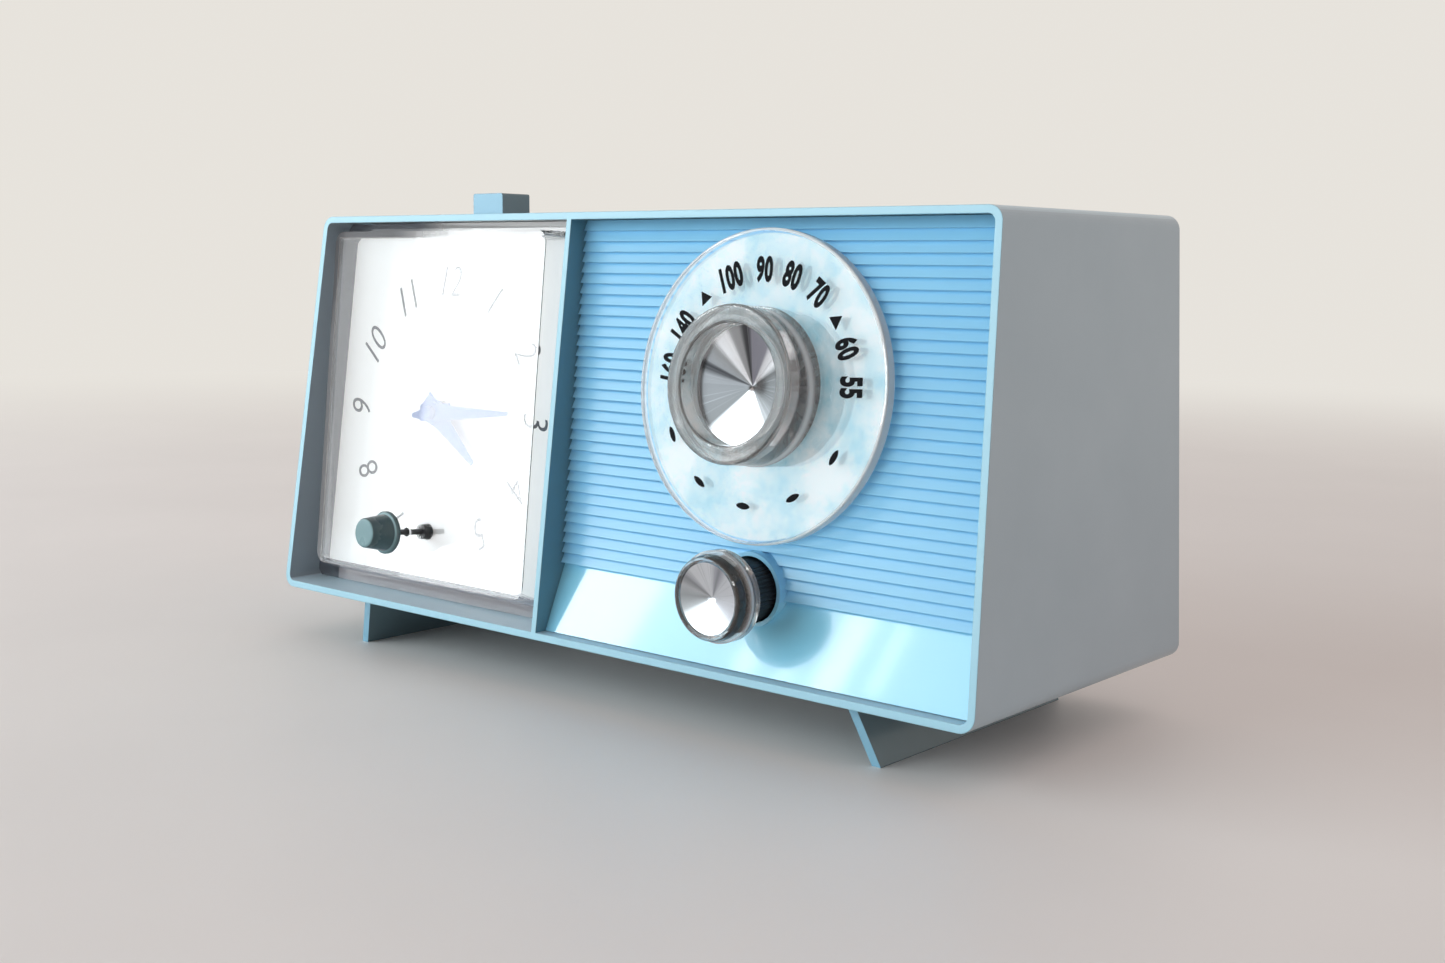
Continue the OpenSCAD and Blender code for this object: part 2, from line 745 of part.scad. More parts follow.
// Outline of the clock opening in the clock's own frame, drawn in by inset
function clock_edge(z, inset) = [-inner_x(z) + inset - clock_x, (z - clock_z) / tilt_c];
// with the left corners cut to clear the cabinet's round ones
corner_cut = 2;
function opening(inset) =
    let (z0 = wall + inset, z1 = body_h - wall - inset, right = divider_left - inset - clock_x)
    [clock_edge(z0 + corner_cut, inset), clock_edge(z0, inset) + [corner_cut, 0],
     [right, (z0 - clock_z) / tilt_c], [right, (z1 - clock_z) / tilt_c],
     clock_edge(z1, inset) + [corner_cut, 0], clock_edge(z1 - corner_cut, inset)];

face_inset = 0.4;
crystal_front = 10;
crystal_t = 1.6;
crystal_rim = 1.5;
flange_w = 3.2;
// Corners of the crystal's flat window, from the clock centre
window_left = -53.5;
window_right = 54.5;
window_low = -57;
window_high = 61;
window_round = 4;

module window(grow) hull()
    for (x = [window_left + window_round, window_right - window_round],
         y = [window_low + window_round, window_high - window_round])
        translate([x, y]) circle(r = window_round + grow, $fn = 32);

module tray(grow, front) hull() {
    linear_extrude(0.02) polygon(opening(face_inset + flange_w - grow));
    translate([0, 0, front - 0.02]) linear_extrude(0.02) window(grow);
}

module clock_crystal() place() color(clear) on_clock() difference() {
    union() {
        linear_extrude(crystal_rim) polygon(opening(face_inset));
        tray(0, crystal_front);
    }
    translate([0, 0, -0.02]) tray(-crystal_t, crystal_front - crystal_t + 0.02);
    translate([-set_left, -set_drop, -1]) cylinder(r = set_shaft_r + 0.6, h = 20);
    clock_screw_bites();
}

module clock_face() place() color("#fbfbf8") on_clock() difference() {
    translate([0, 0, -face_t]) linear_extrude(face_t) polygon(opening(face_inset));
    translate([0, 0, -5]) cylinder(r = 4.2, h = 10);
    translate([-set_left, -set_drop, -5]) cylinder(r = set_collar_r + 0.3, h = 10);
    clock_screw_bites();
}

// The lug screws' holes, seen from the clock's own frame
module clock_screw_bites()
    for (p = clock_screw_places)
        translate([p[0][0] - clock_x, (p[0][2] - clock_z) / tilt_c + face_t * tilt_t, -face_t - 1])
            cylinder(r = pilot_r, h = clock_bite + 1.1);

// Gear with straight-flanked teeth, one tooth centred on the angle at
function gear_points(n, m, at) =
    let (pitch = 360 / n, rp = m * n / 2, root = rp - 1.15 * m, tip = rp + 0.8 * m)
    [for (i = [0 : n - 1], k = [0 : 3])
        let (a = at + i * pitch + pitch * [-0.29, -0.1, 0.1, 0.29][k],
             r = (k == 0 || k == 3) ? root : tip)
        [r * cos(a), r * sin(a)]];
module gear(n, m, at, h) linear_extrude(h) polygon(gear_points(n, m, at));

// Motion work: minutes to hours through one wheel and pinion, and the set wheel
arbor_r = 1.5;
cannon_teeth = 12;
motion_teeth = 36;
motion_pinion_teeth = 10;
hour_teeth = 40;
set_teeth = 54;
centre_teeth = 60;
motor_teeth = 8;
mod_motion = 0.6;
motion_far = mod_motion * (cannon_teeth + motion_teeth) / 2;
mod_hour = 2 * motion_far / (motion_pinion_teeth + hour_teeth);
set_far = sqrt(set_drop * set_drop + set_left * set_left);
set_angle = atan2(-set_drop, -set_left);
set_wheel_r = set_far - motion_far - mod_motion * motion_teeth / 2;
motor_angle = 35;
mod_centre = 0.6;
motor_far = mod_centre * (centre_teeth + motor_teeth) / 2;

front_plate = -12;
back_plate = -30;
clock_plate_t = 1.5;
plate_half = 34;
pillar_r = 2.6;
pillar_places = [[-30, -30], [30, -30], [30, 30], [-30, 30]];
motion_at = motion_far * [cos(set_angle), sin(set_angle)];
motor_at = motor_far * [cos(motor_angle), sin(motor_angle)];
cannon_z = -9.4;
hour_wheel_z = -4.4;

centre_z = -16;
wheel_t = 1.4;
// Hands: heights above the face, thickness, and the alarm hand's own size
minute_z = 5.2;
hour_z = 3.5;
alarm_z = 1.8;
hand_t = 0.6;
alarm_len = 14;
alarm_angle = 97;
arbor_top = 6.6;

minute_angle = -6 * (rest_minutes % 60);
hour_angle = -0.5 * rest_minutes;

module minute_arbor() place() color(brass) on_clock() {
    translate([0, 0, back_plate - 3]) cylinder(r = arbor_r, h = arbor_top - back_plate + 3);
    translate([0, 0, centre_z])
        gear(centre_teeth, mod_centre, motor_angle + 180 / centre_teeth, wheel_t);
    translate([0, 0, cannon_z]) gear(cannon_teeth, mod_motion, set_angle + 180 / cannon_teeth, 2.6);
}

module hand(len, base_w, tip_w, t, bore, angle) rotate(angle) difference() {
    linear_extrude(t) union() {
        circle(r = base_w / 2 + 0.8);
        polygon([[-base_w / 2, -base_w * 0.9], [base_w / 2, -base_w * 0.9],
                 [base_w / 2, 2], [tip_w / 2, len], [-tip_w / 2, len], [-base_w / 2, 2]]);
    }
    translate([0, 0, -1]) cylinder(r = bore + slip, h = t + 2);
}

module minute_hand() place() color("#a9d8f2") on_clock() {
    translate([0, 0, minute_z]) hand(minute_len, 6, 1.4, hand_t, arbor_r, minute_angle);
    rotate_extrude() polygon([
        [arbor_r + slip, minute_z], [2.4, minute_z], [2.4, arbor_top + 0.2], [1.8, arbor_top + 1],
        [0, arbor_top + 1], [0, arbor_top], [arbor_r + slip, arbor_top]]);
}

tube_wall = 0.9;
hour_r = arbor_r + run + tube_wall;
module hour_wheel() place() color(brass) on_clock() difference() {
    union() {
        translate([0, 0, hour_wheel_z]) gear(hour_teeth, mod_hour, set_angle + 180 / hour_teeth, wheel_t);
        translate([0, 0, hour_wheel_z]) cylinder(r = hour_r, h = 4.2 - hour_wheel_z);
    }
    translate([0, 0, hour_wheel_z - 1]) cylinder(r = arbor_r + run, h = 20);
}
module hour_hand() place() color("#a9d8f2") on_clock()
    translate([0, 0, hour_z]) hand(hour_len, 7.5, 1.8, hand_t, hour_r, hour_angle);

alarm_r = hour_r + run + tube_wall;
alarm_low = -2.2;
alarm_flange_r = 7.5;
module alarm_sleeve() place() color(brass) on_clock() difference() {
    union() {
        translate([0, 0, alarm_low]) cylinder(r = alarm_flange_r, h = 0.9);
        translate([0, 0, alarm_low]) cylinder(r = alarm_r, h = 4.9);
    }
    translate([0, 0, -5]) cylinder(r = hour_r + run, h = 12);
}
module alarm_hand() place() color("#a9d8f2") on_clock()
    translate([0, 0, alarm_z]) hand(alarm_len, 6.4, 1.4, hand_t, alarm_r, alarm_angle);

stud_r = 1;
module motion_wheel() place() color(brass) on_clock() translate(motion_at) difference() {
    union() {
        translate([0, 0, cannon_z + 0.4]) gear(motion_teeth, mod_motion, set_angle, 1.6);
        translate([0, 0, cannon_z + 0.4]) gear(motion_pinion_teeth, mod_hour, set_angle + 180, 7.2);
    }
    translate([0, 0, cannon_z - 1]) cylinder(r = stud_r + run, h = 20);
}

set_shaft_r = 1;
set_collar_r = 2.6;
set_collar_front = 3;
set_flange_back = 18;
set_flange_r = 7.2;
set_socket = set_front - 2;
set_low = front_plate - clock_plate_t - 1;
module set_shaft() place() color(black) on_clock() translate([-set_left, -set_drop, 0]) {
    translate([0, 0, set_low]) cylinder(r = set_shaft_r, h = set_socket - set_low);
    translate([0, 0, cannon_z + 0.4])
        gear(set_teeth, 2 * set_wheel_r / set_teeth, set_angle + 180 + 180 / set_teeth, 1.6);
    translate([0, 0, -face_t]) cylinder(r = set_collar_r, h = set_collar_front + face_t);
}

module set_knob() place() color("#7fc4d8") on_clock() translate([-set_left, -set_drop, 0])
    rotate_extrude() polygon(concat(
        [[0, set_socket], [set_shaft_r + slip, set_socket], [set_shaft_r + slip, set_flange_back],
         [set_flange_r - 0.3, set_flange_back], [set_flange_r, set_flange_back + 0.4],
         [set_flange_r, set_flange_back + 1.2], [set_flange_r - 0.4, set_flange_back + 1.6],
         [set_flange_r - 1.1, set_flange_back + 1.9]],
        arc_points([set_tip_r, set_front - 0.8], 0.8, 0, 90, 4), [[0, set_front]]));

module clock_plates() place() color(brass) on_clock() difference() {
    union() {
        for (z = [front_plate, back_plate])
            translate([-plate_half, -plate_half, z - clock_plate_t])
                cube([2 * plate_half, 2 * plate_half, clock_plate_t]);
        translate([-set_left - 7, -set_drop - 7, front_plate - clock_plate_t])
            cube([14, 16, clock_plate_t]);
        for (p = pillar_places) {
            translate([p[0], p[1], back_plate - 0.1])
                cylinder(r = pillar_r, h = front_plate - clock_plate_t - back_plate + 0.2);
            translate([p[0], p[1], front_plate - 0.1])
                cylinder(r = pillar_r, h = -front_plate - face_t + 0.1);
        }
        translate([motion_at[0], motion_at[1], front_plate - 1])
            cylinder(r = stud_r, h = -front_plate - 1.6 + 1);
        for (p = core_spacers)
            translate([motor_at[0] + p[0], motor_at[1] + p[1], core_top])
                cylinder(r = pillar_r, h = can_top - core_top + 0.2);
    }
    for (z = [front_plate, back_plate])
        translate([0, 0, z - clock_plate_t - 1]) cylinder(r = arbor_r + run, h = clock_plate_t + 2);
    translate([-set_left, -set_drop, set_low]) cylinder(r = set_shaft_r + run, h = 4);
    translate([motor_at[0], motor_at[1], back_plate - clock_plate_t - 1]) cylinder(r = 4, h = 4);
}

motor_can_r = 12;
motor_can_h = 16;
motor_shaft_r = 1.2;
motor_pinion_z = -17;
can_top = back_plate - clock_plate_t;
module motor_pinion() place() color(brass) on_clock() translate(motor_at) {
    translate([0, 0, motor_pinion_z]) gear(motor_teeth, mod_centre, motor_angle + 180, 3);
    translate([0, 0, can_top - 4]) cylinder(r = motor_shaft_r, h = motor_pinion_z - can_top + 4.2);
}
module motor_can() place() color("#b87333") on_clock() translate(motor_at) difference() {
    rotate_extrude() polygon(concat(
        [[0, can_top - motor_can_h], [8, can_top - motor_can_h]],
        arc_points([motor_can_r - 2, can_top - motor_can_h + 4], 2, -60, 0, 4),
        [[motor_can_r, can_top], [0, can_top]]));
    translate([0, 0, can_top - 5]) cylinder(r = motor_shaft_r + run, h = 8);
}

core_top = can_top - 3;
core_spacers = [[-48, -13], [-48, 13], [13.5, -13.5]];
core_thick = 9;
// Motor core, the window for its coil, and the coil round the upper limb
core_low = [-52, -17];
core_size = [69, 34];
core_window = [-43, -8];
core_window_size = [27, 16];
limb_low = 8;
limb_h = 9.1;
motor_coil_low = [-40, 4.2];
motor_coil_size = [20, 16.8];
module motor_core() place() color("#4d4f52") on_clock() translate(motor_at) difference() {
    translate([core_low[0], core_low[1], core_top - core_thick])
        cube([core_size[0], core_size[1], core_thick]);
    translate([0, 0, core_top - 20]) cylinder(r = motor_can_r + 0.4, h = 40);
    translate([core_window[0], core_window[1], core_top - 20])
        cube([core_window_size[0], core_window_size[1], 40]);
}
module motor_coil() place() color("#b5813a") on_clock() translate(motor_at) difference() {
    translate([motor_coil_low[0], motor_coil_low[1], core_top - core_thick - 4])
        cube([motor_coil_size[0], motor_coil_size[1], core_thick + 8 - 1.2]);
    translate([motor_coil_low[0] - 1, limb_low, core_top - core_thick - 0.1])
        cube([motor_coil_size[0] + 2, limb_h, core_thick + 0.2]);
}

/* Snooze button */

flange_t = 1.6;
flange_top = body_h - wall - 0.1;
spring_top = flange_top - flange_t;
bracket_z = spring_top - 16;
bracket_t = 1.2;
stem_r = 2.4;
bracket_half_x = 16;
bracket_half_y = 9;
flange_out = 2;
button_round = 0.8;

module snooze_button() place() color(pale) translate([snooze_x, snooze_y, 0]) {
    intersection() {
        translate([-snooze_w / 2, -snooze_d / 2, spring_top])
            cube([snooze_w, snooze_d, body_h + snooze_h - spring_top]);
        prism_y(-20, 20) polygon(concat(
            [[-snooze_w / 2, spring_top], [snooze_w / 2, spring_top]],
            arc_points([snooze_w / 2 - button_round, body_h + snooze_h - button_round],
                       button_round, 0, 90, 4),
            arc_points([-snooze_w / 2 + button_round, body_h + snooze_h - button_round],
                       button_round, 90, 180, 4)));
    }
    translate([-snooze_w / 2 - flange_out, -snooze_d / 2 - flange_out, spring_top])
        cube([snooze_w + 2 * flange_out, snooze_d + 2 * flange_out, flange_t]);
    translate([0, 0, bracket_z - 4]) cylinder(r = stem_r, h = spring_top - bracket_z + 4.2);
}

module snooze_bracket() place() color(metal) translate([snooze_x, snooze_y, 0]) difference() {
    union() {
        translate([-bracket_half_x, -bracket_half_y, bracket_z - bracket_t])
            cube([2 * bracket_half_x, 2 * bracket_half_y, bracket_t]);
        for (side = [-1, 1])
            translate([side * bracket_half_x - (side > 0 ? bracket_t : 0),
                       -bracket_half_y, bracket_z - bracket_t])
                cube([bracket_t, 2 * bracket_half_y, body_h - wall - bracket_z + bracket_t]);
    }
    translate([0, 0, bracket_z - 5]) cylinder(r = stem_r + 0.3, h = 10);
}

// Coil spring round the stem: one tube swept along a helix
coil_turns = 6;
coil_r = 4;
wire_r = 0.5;
coil_rings = 12 * coil_turns;
coil_sides = 8;
coil_low = bracket_z + wire_r;
coil_rise = spring_top - wire_r - coil_low;
function coil_ring(i) =
    let (a = 360 * coil_turns * i / coil_rings, z = coil_low + coil_rise * i / coil_rings)
    [for (k = [0 : coil_sides - 1])
        let (b = 360 * k / coil_sides, r = coil_r + wire_r * cos(b))
        [r * cos(a), r * sin(a), z + wire_r * sin(b)]];
coil_mesh_points = [for (i = [0 : coil_rings], p = coil_ring(i)) p];
coil_mesh_faces = concat(
    [for (i = [0 : coil_rings - 1], k = [0 : coil_sides - 1], h = [0, 1])
        let (a = i * coil_sides + k, b = i * coil_sides + (k + 1) % coil_sides)
        h == 0 ? [a, a + coil_sides, b] : [b, a + coil_sides, b + coil_sides]],
    [for (k = [1 : coil_sides - 2]) [0, k, k + 1]],
    [for (k = [1 : coil_sides - 2])
        let (e = coil_rings * coil_sides) [e, e + k + 1, e + k]]);
module snooze_spring() place() color(metal) translate([snooze_x, snooze_y, 0])
    polyhedron(points = coil_mesh_points, faces = coil_mesh_faces);

/* Rear cover */

inlet_r = 6;
inlet_at = [96, 20];
// Bushing: cord hole, flanges inside and outside
cord_r = 3.2;
bushing_r = 7.4;
bushing_out = 1.5;
vent_w = 3;
vent_h = 26;
vent_rows = [44, 92];
vent_pitch = 9;
vent_xs = [for (i = [0 : 13]) 4 + vent_pitch * i];
clock_vents = [for (i = [0 : 8]) -120 + vent_pitch * i];

module slot(x, z, h) translate([x, rear_y - rear_t - 1, z]) {
    translate([-vent_w / 2, 0, -h / 2]) cube([vent_w, rear_t + 2, h]);
    for (end = [-1, 1])
        translate([0, 0, end * h / 2]) rotate([-90, 0, 0]) cylinder(r = vent_w / 2, h = rear_t + 2);
}

module rear_cover() place() color("#7db9dd") difference() {
    prism_y(rear_y - rear_t, rear_y) polygon(outline(wall + 0.3));
    for (x = vent_xs, z = vent_rows) slot(x, z, vent_h);
    for (x = clock_vents) slot(x, vent_rows[1], vent_h);
    translate([inlet_at[0], rear_y - 10, inlet_at[1]]) rotate([-90, 0, 0]) cylinder(r = inlet_r, h = 20);
    for (p = boss_places)
        translate([p[0], rear_y - 10, p[1]]) rotate([-90, 0, 0]) cylinder(r = screw_r + 0.3, h = 20);
}

module rear_screws() place() color(metal)
    for (p = boss_places) translate([p[0], rear_y, p[1]]) rotate([-90, 0, 0]) screw(12);

module inlet_bushing() place() color(black)
    translate([inlet_at[0], rear_y, inlet_at[1]]) rotate([-90, 0, 0])
        rotate_extrude() polygon([
            [cord_r, -rear_t - bushing_out], [bushing_r, -rear_t - bushing_out], [bushing_r, -rear_t],
            [inlet_r - slip, -rear_t], [inlet_r - slip, 0], [bushing_r, 0],
            [bushing_r - 0.4, bushing_out], [cord_r + 0.4, bushing_out], [cord_r, 1]]);

cabinet_shell();
left_foot();
right_foot();
front_panel();
panel_screws();
dial_disc();
tuning_knob();
tuning_knob_insert();
tuning_shaft();
capacitor_rotor();
capacitor_frame();
capacitor_stator();
capacitor_screws();
volume_knob();
volume_knob_insert();
volume_collar();
volume_shaft();
volume_control();
speaker_basket();
speaker_cone();
speaker_magnet();
circuit_board();
board_screws();
tube_sockets();
converter_tube();
amplifier_tube();
detector_tube();
output_tube();
rectifier_tube();
first_if_can();
second_if_can();
filter_capacitor();
transformer_core();
transformer_coil();
ferrite_rod();
antenna_coil();
antenna_brackets();
clock_crystal();
clock_face();
clock_screws();
clock_plates();
minute_arbor();
minute_hand();
hour_wheel();
hour_hand();
alarm_sleeve();
alarm_hand();
motion_wheel();
set_shaft();
set_knob();
motor_pinion();
motor_can();
motor_core();
motor_coil();
snooze_button();
snooze_spring();
snooze_bracket();
rear_cover();
rear_screws();
inlet_bushing();
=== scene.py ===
"""Looks of a moulded table clock radio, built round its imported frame.

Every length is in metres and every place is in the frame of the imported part:
+X to the right seen from the front, +Y to the rear, +Z up.
"""

import json
import logging
import math
from dataclasses import dataclass, field
from enum import Enum

import bpy
from mathutils import Matrix, Vector


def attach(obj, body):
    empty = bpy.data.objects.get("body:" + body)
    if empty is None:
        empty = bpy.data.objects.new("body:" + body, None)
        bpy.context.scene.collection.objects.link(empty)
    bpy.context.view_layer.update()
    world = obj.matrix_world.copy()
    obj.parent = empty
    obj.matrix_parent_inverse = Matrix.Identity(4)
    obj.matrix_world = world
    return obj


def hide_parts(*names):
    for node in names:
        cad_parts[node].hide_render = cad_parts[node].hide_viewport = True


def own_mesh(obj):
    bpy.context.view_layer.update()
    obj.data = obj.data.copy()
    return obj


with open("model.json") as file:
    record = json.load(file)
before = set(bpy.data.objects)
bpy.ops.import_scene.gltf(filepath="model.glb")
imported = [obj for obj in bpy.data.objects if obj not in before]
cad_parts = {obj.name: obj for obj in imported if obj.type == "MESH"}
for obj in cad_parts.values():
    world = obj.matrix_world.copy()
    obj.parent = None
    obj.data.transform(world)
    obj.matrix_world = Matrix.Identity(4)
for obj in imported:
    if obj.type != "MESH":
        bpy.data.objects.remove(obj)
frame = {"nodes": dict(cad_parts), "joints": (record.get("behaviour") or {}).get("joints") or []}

LOG = logging.getLogger("clock_radio")
MM = 0.001
Colour = tuple[float, float, float]
Place = tuple[float, float, float]
Outline = tuple[tuple[float, float], ...]
Piece = bpy.types.Object
Socket = bpy.types.NodeSocket
FRONT = (0.0, -1.0, 0.0)
UP = (0.0, 0.0, 1.0)
# Numbers of the colour sockets on a Mix node
MIX_FIRST, MIX_SECOND, MIX_RESULT = 6, 7, 2
# Where NodeSheet.facing() is between these, a face comes to look in that direction
LOOKS = (0.6, 0.9)


# Places


@dataclass(frozen=True)
class FrontPlane:
    """A plane that faces the front, tilted back from upright.

    Attributes:
        origin: Point on the plane where its axes start.
        tilt: Tilt from upright in degrees.
    """

    origin: Place
    tilt: float

    def turn(self) -> float:
        """Returns the turn about X, in radians, that lays upright axes on the plane."""
        return math.radians(90.0 - self.tilt)

    def matrix(self) -> Matrix:
        """Returns the matrix from the plane's X right, Y up, Z out to the frame."""
        return Matrix.Translation(self.origin) @ Matrix.Rotation(self.turn(), 4, "X")


def plane_at(joint: str, tilt: float) -> FrontPlane:
    """Returns the plane through a joint's place, tilted from upright by so many degrees."""
    return FrontPlane(tuple(next(j["pos_m"] for j in frame["joints"] if j["name"] == joint)), tilt)


PANEL_TILT = 5.74
DIAL_PLANE = plane_at("tuning_turn", PANEL_TILT)
CLOCK_PLANE = plane_at("minute_turn", PANEL_TILT)
VOLUME_PLANE = plane_at("volume_turn", 0.0)


# Node trees


class NodeSheet:
    """The node tree of a material or a world, with short calls to add and join nodes."""

    def __init__(self, name: str, world: bool = False) -> None:
        """Makes an empty node material or world.

        Args:
            name: Name of the material or world.
            world: Whether it is a world.
        """
        self.owner = (bpy.data.worlds if world else bpy.data.materials).new(name)
        self.owner.use_nodes = True
        self.tree = self.owner.node_tree
        self.tree.nodes.clear()
        self.out = self.add("OutputWorld" if world else "OutputMaterial")

    def add(self, kind: str, feeds: dict[str | int, object] | None = None,
            **settings: object) -> bpy.types.Node:
        """Adds a node.

        Args:
            kind: Node type without its ShaderNode prefix.
            feeds: Inputs by name or number, each with a value or with the socket to join to it.
            settings: Values for the node's own attributes.

        Returns:
            The new node.
        """
        node = self.tree.nodes.new("ShaderNode" + kind)
        for key, value in settings.items():
            setattr(node, key, value)
        self.feed(node, feeds or {})
        return node

    def feed(self, node: bpy.types.Node, feeds: dict[str | int, object]) -> None:
        """Sets a node's inputs or joins sockets to them.

        Args:
            node: The node.
            feeds: Inputs by name or number, each with a value or with the socket to join to it.
        """
        for key, value in feeds.items():
            socket = node.inputs[key]
            if isinstance(value, Socket):
                self.tree.links.new(value, socket)
            elif socket.type == "RGBA":
                socket.default_value = (*value, 1.0)
            else:
                socket.default_value = value

    def coordinate(self, kind: str) -> Socket:
        """Returns a kind of coordinate; Object and Generated stay with the piece as it moves."""
        return self.add("TexCoord").outputs[kind]

    def along(self, axis: str, kind: str = "Object") -> Socket:
        """Returns a kind of coordinate along one axis, X, Y or Z."""
        return self.add("SeparateXYZ", {"Vector": self.coordinate(kind)}).outputs[axis]

    def noise(self, scale: float, detail: float = 3.0, rough: float = 0.55,
              stretch: Place = (1.0, 1.0, 1.0)) -> Socket:
        """Adds a noise pattern fixed to the piece.

        Args:
            scale: Cells to the metre.
            detail: Octaves of finer noise.
            rough: Share of the finer octaves.
            stretch: Scale along each axis.

        Returns:
            The noise value's socket.
        """
        mapping = self.add("Mapping", {"Scale": stretch, "Vector": self.coordinate("Object")})
        feeds = {"Scale": scale, "Detail": detail, "Roughness": rough, "Vector": mapping.outputs["Vector"]}
        return self.add("TexNoise", feeds).outputs["Fac"]

    def streaks(self, source: Socket, count: float) -> Socket:
        """Returns fine streaks along lines of equal value, about so many to each unit of it."""
        feeds = {"W": source, "Scale": count, "Detail": 3.0}
        return self.add("TexNoise", feeds, noise_dimensions="1D").outputs["Fac"]

    def ramp(self, source: Socket, stops: list[tuple[float, Colour]]) -> Socket:
        """Turns a value into a colour.

        Args:
            source: The value.
            stops: Places and colours along the ramp.

        Returns:
            The colour's socket.
        """
        node = self.add("ValToRGB", {"Fac": source})
        points = node.color_ramp.elements
        while len(points) < len(stops):
            points.new(0.5)
        for point, (place, colour) in zip(points, stops):
            point.position = place
            point.color = (*colour, 1.0)
        return node.outputs["Color"]

    def spread(self, source: Socket, low: float, high: float) -> Socket:
        """Returns a 0 to 1 value mapped onto low to high."""
        return self.add("MapRange", {"Value": source, "To Min": low, "To Max": high}).outputs["Result"]

    def step(self, source: Socket, start: float, end: float) -> Socket:
        """Returns a smooth rise from 0 where the value is at start to 1 where it is at end."""
        feeds = {"Value": source, "From Min": start, "From Max": end}
        return self.add("MapRange", feeds, interpolation_type="SMOOTHSTEP").outputs["Result"]

    def blend(self, share: Socket, first: Socket, second: Colour) -> Socket:
        """Returns a colour with a share of a second one over it."""
        feeds = {"Factor": share, MIX_FIRST: first, MIX_SECOND: second}
        return self.add("Mix", feeds, data_type="RGBA").outputs[MIX_RESULT]

    def maths(self, operation: str, first: Socket, second: Socket | float) -> Socket:
        """Returns the result of an operation on two values."""
        return self.add("Math", {0: first, 1: second}, operation=operation).outputs["Value"]

    def vectors(self, operation: str, first: Socket, second: Socket | Place = (0.0, 0.0, 0.0)) -> Socket:
        """Returns the result of an operation on one or two vectors."""
        node = self.add("VectorMath", {0: first, 1: second}, operation=operation)
        return node.outputs["Value" if operation in ("DOT_PRODUCT", "LENGTH") else "Vector"]

    def facing(self, direction: Place) -> Socket:
        """Returns how squarely the surface faces a direction, from -1 to 1."""
        return self.vectors("DOT_PRODUCT", self.coordinate("Normal"), direction)

    def centred(self) -> Socket:
        """Returns the place in the piece's own box, from -1 to 1 each way."""
        feeds = {"Location": (-1.0, -1.0, -1.0), "Scale": (2.0, 2.0, 2.0),
                 "Vector": self.coordinate("Generated")}
        return self.add("Mapping", feeds).outputs["Vector"]

    def on_plane(self, plane: FrontPlane) -> Socket:
        """Finds the place in a plane's own axes, which stay with the piece as it moves.

        Args:
            plane: The plane.

        Returns:
            The place's socket.
        """
        offset = self.vectors("SUBTRACT", self.coordinate("Object"), plane.origin)
        feeds = {"Vector": offset, "Rotation": (-plane.turn(), 0.0, 0.0)}
        return self.add("Mapping", feeds).outputs["Vector"]

    def outward(self) -> Socket:
        """Returns how far the surface faces out of the piece's box; below 0 it faces in."""
        return self.vectors("DOT_PRODUCT", self.centred(), self.coordinate("Normal"))

    def radius(self) -> Socket:
        """Returns the distance from the piece's front-to-rear axis; 1 is its edge."""
        return self.vectors("LENGTH", self.vectors("MULTIPLY", self.centred(), (1.0, 0.0, 1.0)))

    def bump(self, height: Socket, depth: float, strength: float, under: Socket | None = None) -> Socket:
        """Adds a bump.

        Args:
            height: Height pattern from 0 to 1.
            depth: Depth of the pattern in metres.
            strength: Share of it that shows.
            under: A normal to build on.

        Returns:
            The normal's socket.
        """
        node = self.add("Bump", {"Height": height, "Distance": depth, "Strength": strength})
        if under is not None:
            self.feed(node, {"Normal": under})
        return node.outputs["Normal"]

    def soft_edges(self, radius: float) -> Socket:
        """Returns normals that round the edges by a radius in metres."""
        return self.add("Bevel", {"Radius": radius}, samples=4).outputs["Normal"]

    def principled(self, **feeds: object) -> Socket:
        """Adds the surface shader and shows it.

        Args:
            feeds: Values or sockets by input name, with underscores for spaces.

        Returns:
            The shader's socket.
        """
        node = self.add("BsdfPrincipled", {key.replace("_", " "): value for key, value in feeds.items()})
        self.feed(self.out, {"Surface": node.outputs["BSDF"]})
        return node.outputs["BSDF"]

    def mix(self, share: Socket, first: Socket, second: Socket) -> None:
        """Shows one shader with a share of a second one."""
        node = self.add("MixShader", {"Fac": share, 1: first, 2: second})
        self.feed(self.out, {"Surface": node.outputs["Shader"]})


# Finishes


@dataclass(frozen=True)
class LowPart:
    """The smooth lower part of a moulding, whose lighter colour is painted light.

    Attributes:
        top: Height of its upper edge.
        colour: Its lighter colour, painted light.
        polish: Weight of the clear shine over it.
        soft: Height over which it comes in.
    """

    top: float
    colour: Colour
    polish: float
    soft: float = 0.5 * MM

    def share(self, sheet: NodeSheet) -> Socket:
        """Returns 1 below the edge and 0 above it."""
        return sheet.step(sheet.along("Z"), self.top, self.top - self.soft)


@dataclass(frozen=True)
class InnerWalls:
    """Painted shade on a box's inner walls on either side of its divider, and painted light on its faces
    that look up.

    Attributes:
        left: Painted shade colour left of the divider, seen from the front.
        right: Painted shade colour right of it.
        ledge: Lighter colour of the faces that look up, painted light.
        split: Middle of the divider.
        soft: Half the width over which one colour gives way to the other.
    """

    left: Colour
    right: Colour
    ledge: Colour
    split: float
    soft: float = 0.2 * MM

    def over(self, sheet: NodeSheet, colour: Socket) -> Socket:
        """Paints shade on the inner walls and light on the faces that look up.

        Args:
            sheet: The finish's node tree.
            colour: Colour of the outer walls.

        Returns:
            The colour's socket.
        """
        # Painted shade: faces that look into the box are darkened; painted light: faces that look up are
        # lightened.
        inner_shade = sheet.step(sheet.outward(), 0.0, -0.06)
        right = sheet.step(sheet.along("X"), self.split - self.soft, self.split + self.soft)
        colour = sheet.blend(inner_shade, colour, self.left)
        colour = sheet.blend(sheet.maths("MULTIPLY", inner_shade, right), colour, self.right)
        return sheet.blend(sheet.step(sheet.facing(UP), *LOOKS), colour, self.ledge)


